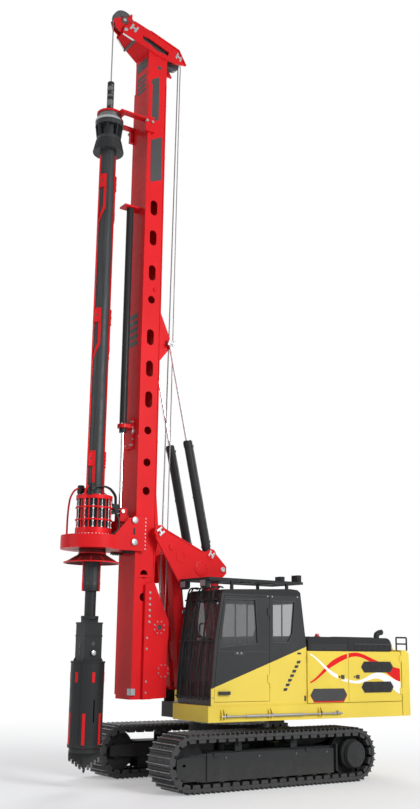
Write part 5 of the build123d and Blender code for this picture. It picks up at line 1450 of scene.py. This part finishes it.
def makeLifting(settings):
    for name, sizes in settings["cylinders"].items():
        dressCylinder(name, *sizes)
    eyes, pins, plates, screws, arm, armPins, feet = (bmesh.new() for step in range(7))
    addKeeper(eyes, settings["eyeKeeper"], 0.35)
    finishPiece("mast_rod_keepers", eyes, "mast_rods", "bright_steel", 0.002, side="both")

    for place, turn, size in settings["supportKeepers"]:
        addKeeper(pins, place, turn, size)
    addPin(pins, settings["supportPin"], 0.042, 0.012)
    # pivot boss rings, the cross tube's cover and the cheek's stiffeners
    for x, z, inner, outer in settings["rings"]:
        addCollar(plates, (x, 0.384, z), leftward, inner, outer, 0.008)
    x, y, z = settings["tubeCover"]
    addTurned(plates, (x, y, z), leftward, [(0.126, 0), (0.126, 0.006), (0.112, 0.010)], 44)
    addTurned(plates, (1.382, 0.394, 3.533), leftward, [(0.050, 0), (0.050, 0.005), (0.036, 0.007)], 30)
    addBolts(screws, ringPlaces((x, y + 0.010, z), *settings["coverBolts"], "y"), leftward, 0.011)
    for start, end, width in settings["stiffeners"]:
        start, end = Vector(start), Vector(end)
        along = (end - start).normalized()
        inset = Vector((along.y, -along.x)) * width
        addPrism(plates, [start, end, end + inset, start + inset], "y", 0.384, 0.396)
    finishPiece("support_pins", pins, "support", "bright_steel", 0.002, side="both")
    finishPiece("support_rings", plates, "support", "red_paint", 0.002, side="both")
    finishPiece("support_bolts", screws, "support", "red_paint", side="both")

    foot, head = settings["armFoot"], settings["armHead"]
    for distance in settings["armPlates"]:
        (x, z), way = alongBar(foot, head, distance)
        corners = [(x - 0.07, z), (x + 0.07, z - 0.015), (x + 0.07, z + 0.015), (x - 0.07, z + 0.03)]
        addPrism(arm, corners, "y", 0.199, 0.207)
    addCollar(arm, settings["armPin"], leftward, 0.046, 0.070, 0.009, 30)
    addPin(armPins, settings["armPin"], 0.040, 0.012)
    finishPiece("arm_plates", arm, "luff_arm", "red_paint", 0.002, side="both")
    finishPiece("arm_pins", armPins, "luff_arm", "bright_steel", side="both")
    ends = [alongBar(foot, head, distance, 0.098)[0] for distance in settings["pipeSpan"]]
    runs = [[(x, y, z) for x, z in ends] for y in settings["pipeYs"]]
    finishLine("arm_pipes", runs, 0.010, "luff_arm", "black_plastic", "rubber")
    for x, y, z, radius in settings["feet"]:
        addPin(feet, (x, y, z), radius, 0.012)
        addKeeper(feet, (x, y + 0.010, z), 0.4, 0.035)
    finishPiece("foot_pins", feet, "upper", "bright_steel", 0.0015, side="both")


makeLifting(liftParts)
print("lifting gear done")

driveParts = {
    "rods": 12,
    "rodCircle": 0.262,
    "rodFoot": 3.762,
    "nutsUp": (3.762, 3.890, 4.080),
    "nutsDown": (3.870, 4.060),
    "columnTop": 4.198,
    "plates": ((4.250, 0.278), (3.884, 0.283), (4.074, 0.283)),  # height and radius of the cage's rings
    "flangeBolts": (0.308, 36),
    "topBolts": (0.255, 18),
    "carriagePins": ((2.034, 3.566), (2.034, 3.904)),
    "edgeBolts": (1.836, 3.475, 3.945, 9),
    "slot": ((2.034, 3.775), (2.034, 3.695)),
    "motors": (50, 310),
    "motorReach": 0.232,
    "block": {
        "body": ((2.20, 2.32), (-0.11, 0.11), (4.02, 4.16)),
        "port": ((2.32, 2.36), (-0.05, 0.05), (4.05, 4.12)),
    },
    "pipeLoop": ((2.664, -0.10, 4.262), (2.664, -0.10, 4.377), (2.72, -0.14, 4.395), (2.808, -0.20, 4.377),
                 (2.862, -0.23, 4.28), (2.880, -0.25, 4.183), (2.889, -0.27, 3.962), (2.884, -0.28, 3.70),
                 (2.884, -0.28, 3.63)),
    # x, y beyond the pipe's own, z
    "upperPipe": ((2.24, 0, 4.15), (2.24, 0, 4.24), (2.28, 0.05, 4.30), (2.42, 0.10, 4.40), (2.60, 0.12, 4.40),
                  (2.70, 0.11, 4.36)),
    "sidePipe": ((2.30, 0.10, 4.08), (2.34, 0.22, 4.06), (2.29, 0.27, 3.92), (2.265, 0.27, 3.80), (2.32, 0.28, 3.70),
                 (2.40, 0.24, 3.662)),
    "ribs": 12,
    "ribForm": ((0.212, 3.365), (0.395, 3.258), (0.395, 3.250), (0.212, 3.350)),
}


def makeDrive(settings):
    rods, columns, rings, bolts, dark, motors = (bmesh.new() for step in range(6))
    count, foot = settings["rods"], settings["rodFoot"]
    nut = [(0.015, 0), (0.015, 0.022)]
    for step, (x, y, z) in enumerate(ringPlaces((kellyAxis, 0, foot), settings["rodCircle"], count)):
        addTurned(rods, (x, y, z), upward, [(0.0075, 0), (0.0075, 0.435)], 14)
        for way, heights in ((upward, settings["nutsUp"]), (downward, settings["nutsDown"])):
            for height in heights:
                addTurned(rods, (x, y, height), way, nut, 6)
        outline = spokeOutline((kellyAxis, 0), 2 * math.pi * (step + 0.5) / count, 0.222, 0.250, 0.030, 0.7)
        addPrism(columns, outline, "z", foot, settings["columnTop"])
    finishPiece("drive_tie_rods", rods, "carriage", "bright_steel", finish="paleSteel")
    finishPiece("drive_columns", columns, "carriage", "black_paint", 0.002)

    for z, radius in settings["plates"]:
        addCollar(rings, (kellyAxis, 0, z), upward, radius - 0.045, radius + 0.004, 0.010, 64, -0.004)
    addCollar(rings, (kellyAxis, 0, 3.640), upward, 0.281, 0.335, 0.016, 64, -0.004)
    rim = [(0.404, 0.0), (0.433, 0.0), (0.433, 0.016), (0.416, 0.020)]
    addTurned(rings, (kellyAxis, 0, 3.232), upward, rim, 72, True)
    finishPiece("drive_ring_flanges", rings, "carriage", "red_paint", 0.001)

    x, low, high, count = settings["edgeBolts"]
    places = [(x, 0.320, low + (high - low) * step / (count - 1)) for step in range(count)]
    addBolts(bolts, places, leftward, 0.010)
    for x, z in settings["carriagePins"]:
        addPin(bolts, (x, 0.335, z), 0.052, 0.014)
    addPin(bolts, (2.118, 0.095, 4.060), 0.034, 0.010)
    mirrorForm(bolts)
    addBolts(bolts, ringPlaces((kellyAxis, 0, 3.656), *settings["flangeBolts"]), upward, 0.013)
    addBolts(bolts, ringPlaces((kellyAxis, 0, 4.260), *settings["topBolts"]), upward, 0.012)
    finishPiece("drive_bolts", bolts, "carriage", "bright_steel")
    # the slot is a thin black sheet, painted shade for its dark inside; the block and its nuts are black parts
    upper, lower = settings["slot"]
    outline = arcPoints(upper, 0.016, 0, 180, 8) + arcPoints(lower, 0.016, 180, 360, 8)
    addPrism(dark, outline, "y", 0.3195, 0.3215)
    addBox(dark, (1.99, 2.130), (0.12, 0.250), (3.410, 3.4395))
    for x in (2.02, 2.06, 2.10):
        addTurned(dark, (x, 0.205, 3.411), downward, [(0.016, -0.002), (0.016, 0.012)], 6)
    finishPiece("carriage_dark_fittings", dark, "carriage", "black_paint", 0.002, side="both")

    # motor heads, port blocks and the hard pipes round the gearbox
    for turn in settings["motors"]:
        x, y, z = onKelly(turn, settings["motorReach"], 4.250)
        addTurned(motors, (x, y, z), upward, [(0.068, 0), (0.068, 0.022), (0.052, 0.03)], 28)
        addTurned(motors, (x, y, 4.405), upward, [(0.054, 0), (0.054, 0.022), (0.044, 0.032), (0.02, 0.036)], 28)
        addBolts(motors, ringPlaces((x, y, 4.272), 0.056, 4, "z", 0.5), upward, 0.009)
        addBox(motors, (x - 0.03, x + 0.03), (y - 0.07, y + 0.07), (4.32, 4.385))
    for sizes in settings["block"].values():
        addBox(motors, *sizes)
    finishPiece("drive_motor_heads", motors, "carriage", "black_paint", 0.003)
    loop, low = settings["pipeLoop"], settings["sidePipe"]
    finishLine("drive_pipe_loop", [loop, mirrored(loop)], 0.015, "carriage", "red_paint")
    runs = [[(x, start + y, z) for x, y, z in settings["upperPipe"]] for start in (0.05, 0.09)]
    finishLine("drive_pipes", runs + [mirrored(run) for run in runs], 0.012, "carriage", "black_plastic", "rubber")
    finishLine("drive_side_pipes", [low, mirrored(low)], 0.014, "carriage", "black_plastic", "rubber")

    # sleeve: flange bolts and ribs that turn with it
    sleeve, collar, count = bmesh.new(), bmesh.new(), settings["ribs"]
    addBolts(sleeve, ringPlaces((kellyAxis, 0, 3.360), 0.186, count, "z", 0.5), downward, 0.013)
    finishPiece("sleeve_bolts", sleeve, "drive_sleeve", "bright_steel")
    addCollar(collar, (kellyAxis, 0, 3.372), upward, 0.206, 0.214, 0.018, 60)
    for step in range(count):
        addFin(collar, 2 * math.pi * step / count, settings["ribForm"], 0.006)
    finishPiece("sleeve_ribs", collar, "drive_sleeve", "red_paint")


makeDrive(driveParts)
print("rotary drive done")

kellyParts = {
    "tube": 0.1365,
    "ribs": (2, 122, 242),
    "lugs": (9.396, 7.049, 4.714),
    "lugLength": 0.24,
    "lugReach": 0.158,
    "stripTurn": (41, 57),
    "stripDrop": 0.366,
    "stripEnd": 0.62,
    "holes": (40, 85, 160, 205, 280, 325),
    "holeZ": 2.93,
    "footRings": ((2.822, 0.1385, 0.05), (2.885, 0.140, 0.012)),  # height, radius, length
    "coils": (7, 10.085, 0.030, 0.256, 0.0065),  # count, first height, pitch, first radius, narrowing
    "strutForm": ((0.137, 10.53), (0.222, 10.552), (0.228, 10.52), (0.205, 10.34), (0.192, 10.345), (0.150, 10.36)),
    "discRim": ((0.226, 0), (0.239, 0), (0.239, 0.034), (0.232, 0.050), (0.215, 0.050)),
    # swivel: height, radius, length of its rings; heights of its pins; height and length of its bands
    "swivelRings": ((10.812, 0.088, 0.02), (10.86, 0.062, 0.02), (10.96, 0.060, 0.10), (11.13, 0.060, 0.03),
                    (11.25, 0.061, 0.06)),
    "swivelPins": (10.93, 11.20, 11.34),
    "swivelBands": ((10.89, 0.06), (11.07, 0.055), (11.17, 0.07), (11.32, 0.085)),
    "guideRollers": (2.02, 1.91),
    "guideBolts": (2.20, 2.32, 2.44),
    "guideRails": ((10.565, 10.60), (10.80, 10.835)),
}


def makeKelly(settings):
    tube, drop, end = settings["tube"], settings["stripDrop"], settings["stripEnd"]
    strips, holes, ends, rim, swivel, dark, guide, rollers = (bmesh.new() for step in range(8))
    low, high = settings["stripTurn"]
    reach, length, count = settings["lugReach"], settings["lugLength"], 8
    for rib in settings["ribs"]:
        for z in settings["lugs"]:
            # strip that runs down from the lug and turns in to the rib
            left = [(rib + high, z + 0.002), (rib + high, z - drop)]
            right = [(rib + low, z + 0.002), (rib + low, z - drop + 0.03)]
            for step in range(1, count + 1):
                share = step / count
                left.append((rib + high * (1 - share) + 4 * share, z - drop - (end - drop + 0.02) * share))
                right.append((rib + low * (1 - share) + 4 * share, z - drop + 0.03 - (end - drop) * share))
            addWrap(strips, left, right, tube - 0.003, tube + 0.013)
            # raised edges of the lug, and a black disc as painted shade in its hole
            middle = onKelly(rib + 30, reach - 0.002, z + length / 2)
            out = Vector(onKelly(rib + 30, 1, 0)) - Vector((kellyAxis, 0, 0))
            addTurned(holes, middle, out, [(0.017, 0), (0.017, 0.004), (0.012, 0.004)], 18)
            turns = [rib + 2 + 54 * step / 10 for step in range(11)]
            for edge in (z + 0.004, z + length - 0.012):
                lines = [[(turn, height) for turn in turns] for height in (edge, edge + 0.008)]
                addWrap(strips, *lines, reach - 0.004, reach + 0.003)
    finishPiece("kelly_strips", strips, "kelly_outer", "red_paint", 0.001)
    # black discs on the tube: painted shade for the dark inside of its holes
    for turn in settings["holes"]:
        out = Vector(onKelly(turn, 1, 0)) - Vector((kellyAxis, 0, 0))
        place = onKelly(turn, tube - 0.003, settings["holeZ"])
        addTurned(holes, place, out, [(0.022, 0), (0.022, 0.005), (0.015, 0.005)], 20)
    finishPiece("kelly_holes", holes, "kelly_outer", "black_paint", finish="blackPlastic")

    # buffer above the tube: rings like a spring round the bell, and struts up to the disc
    for z, radius, height in settings["footRings"]:
        addCollar(ends, (kellyAxis, 0, z), upward, radius - 0.012, radius, height, 56)
    count, start, pitch, first, narrow = settings["coils"]
    for step in range(count):
        radius = first - step * narrow
        profile = [(radius - 0.012, 0), (radius + 0.003, 0.004), (radius + 0.003, 0.016), (radius - 0.012, 0.020)]
        addTurned(ends, (kellyAxis, 0, start + step * pitch), upward, profile, 56, True)
    for step in range(8):
        addFin(ends, math.radians(45 * step + 10), settings["strutForm"], 0.012)
    finishPiece("kelly_buffer", ends, "kelly_outer", "kelly_black", 0.0015)
    addTurned(rim, (kellyAxis, 0, 10.632), upward, settings["discRim"], 64, True)
    finishPiece("kelly_disc_rim", rim, "kelly_outer", "bright_steel")

    # swivel on the guide: pins, rings and bands
    for z in settings["swivelPins"]:
        addPin(swivel, (kellyAxis, 0.053, z), 0.020, 0.012)
    mirrorForm(swivel)
    for z, radius, height in settings["swivelRings"]:
        profile = [(radius * 0.8, 0), (radius, 0.006), (radius, height - 0.006), (radius * 0.8, height)]
        addTurned(swivel, (kellyAxis, 0, z), upward, profile, 36, True)
    finishPiece("swivel_rings", swivel, "kelly_guide", "bright_steel", 0.001, "darkSteel")
    for z, height in settings["swivelBands"]:
        profile = [(0.0555, 0), (0.0585, 0.004), (0.0585, height - 0.004), (0.0555, height)]
        addTurned(dark, (kellyAxis, 0, z), upward, profile, 36, True)
    addBolts(dark, ringPlaces((kellyAxis, 0, 10.69), 0.165, 10), downward, 0.012)
    finishPiece("swivel_bands", dark, "kelly_guide", "black_paint")

    for x in settings["guideRollers"]:
        addPin(rollers, (x, 0.295, 10.74), 0.026, 0.030)
    addBolts(rollers, [(x, 0.225, 10.810) for x in settings["guideBolts"]], upward, 0.014)
    for span in settings["guideRails"]:
        addBox(guide, (1.865, 2.03), (0.292, 0.303), span)
    mirrorForm(guide)
    addCollar(guide, (kellyAxis, 0, 10.808), upward, 0.085, 0.115, 0.016, 48)
    finishPiece("guide_plates", guide, "kelly_guide", "red_paint", 0.002)
    finishPiece("guide_rollers", rollers, "kelly_guide", "bright_steel", side="both")


makeKelly(kellyParts)

bucketParts = {
    "radius": 0.250,
    # first turn, bottom and top of the rows of red marks
    "marks": ((-4, 0.575, 1.06), (24, 1.494, 1.638)),
    "markHalf": 5.0,
    "rims": ((1.768, 0.008, 0.024, 0.027), (0.578, 0.006, 0.045, 0.052)),  # height, reach beyond the wall, ends
    "seams": (40, 220),
    "slotCovers": (74.8, 92.2),
    "gussetForm": ((0.10, 1.79), (0.225, 1.79), (0.225, 1.81), (0.150, 1.93), (0.10, 1.93)),
    "pinZ": 1.912,
    "boxFace": 0.145,
    "boxBands": (2.345, 2.16),
    "boxSlots": (1.912, 2.02),
    "toothRows": (-34, 146),
    "toothReaches": (0.062, 0.112, 0.162, 0.212),
}


def makeBucket(settings):
    radius, face, half = settings["radius"], settings["boxFace"], settings["markHalf"]
    marks, body, dark, pins, teeth = (bmesh.new() for step in range(5))
    for first, low, high in settings["marks"]:
        for step in range(6):
            turns = [first + 60 * step - half + half * part / 2 for part in range(5)]
            lines = [[(turn, z) for turn in turns] for z in (low, high)]
            addWrap(marks, *lines, radius - 0.003, radius + 0.004)
    finishPiece("bucket_red_marks", marks, "kelly_inner", "red_paint", 0.001)

    for z, proud, outer, inner in settings["rims"]:
        profile = [(radius - 0.01, 0), (radius + proud, 0), (radius + proud, outer), (radius - 0.01, inner)]
        addTurned(body, (kellyAxis, 0, z), upward, profile, 72, True)
    for turn in settings["seams"]:
        lines = [[(edge, 0.62), (edge, 1.765)] for edge in (turn, turn + 2.2)]
        addWrap(body, *lines, radius - 0.003, radius + 0.006)
    for start in settings["slotCovers"]:  # they narrow the emptying slot to a slit
        lines = [[(start + 13 * step / 4, z) for step in range(5)] for z in (0.934, 1.250)]
        addWrap(body, *lines, radius - 0.018, radius - 0.001)
    for step in range(4):
        addFin(body, math.radians(45 + 90 * step), settings["gussetForm"], 0.010)
    for z in settings["boxBands"]:
        for side in (1, -1):
            near, far, span = side * (face - 0.003), side * (face + 0.006), (z - 0.012, z + 0.012)
            addBox(body, (kellyAxis - face - 0.006, kellyAxis + face + 0.006), (near, far), span)
            addBox(body, (kellyAxis + near, kellyAxis + far), (-face, face), span)
    finishPiece("bucket_rims", body, "kelly_inner", "kelly_black", 0.002)

    # black disc and thin black sheets on the box: painted shade for the dark inside of a hole and its slots
    addTurned(dark, (kellyAxis, face - 0.002, 2.045), leftward, [(0.030, 0), (0.030, 0.004), (0.022, 0.004)], 22)
    mirrorForm(dark)
    for side in (1, -1):
        for z in settings["boxSlots"]:
            addBoxOn(dark, (kellyAxis + side * (face + 0.0005), 0, z), (0.0015, 0.02, 0.035))
    finishPiece("bucket_box_slots", dark, "kelly_inner", "black_paint", finish="blackPlastic")
    place = (kellyAxis, 0.170, settings["pinZ"])
    addTurned(pins, place, leftward, [(0.036, 0), (0.036, 0.010), (0.020, 0.014)], 24)
    finishPiece("kelly_pin_heads", pins, "kelly_inner", "bright_steel", side="both")

    # cutting teeth: pointed blocks on the gate's two rows
    for turn in settings["toothRows"]:
        out = Vector(onKelly(turn, 1, 0)) - Vector((kellyAxis, 0, 0))
        across = Vector((out.y, -out.x, 0))
        for reach in settings["toothReaches"]:
            low = 0.216 + 0.72 * (reach - 0.012)
            base = Vector((kellyAxis, 0, low)) + out * reach
            corners = ((-0.017, -0.004), (0.017, -0.004), (0.017, 0.046), (-0.017, 0.046))
            top = [teeth.verts.new(base + out * a + across * b + Vector((0, 0, 0.085))) for a, b in corners]
            edge = [teeth.verts.new(base + out * a + across * 0.040 + Vector((0, 0, 0.012))) for a in (-0.015, 0.015)]
            for face in ((0, 1, 2, 3), (0, 1, 5, 4), (2, 3, 4, 5), (1, 2, 5), (3, 0, 4)):
                teeth.faces.new([(top + edge)[index] for index in face])
    finishPiece("cutting_teeth", teeth, "bucket_gate", "kelly_black", 0.001, "darkSteel")


makeBucket(bucketParts)
print("kelly and bucket done")
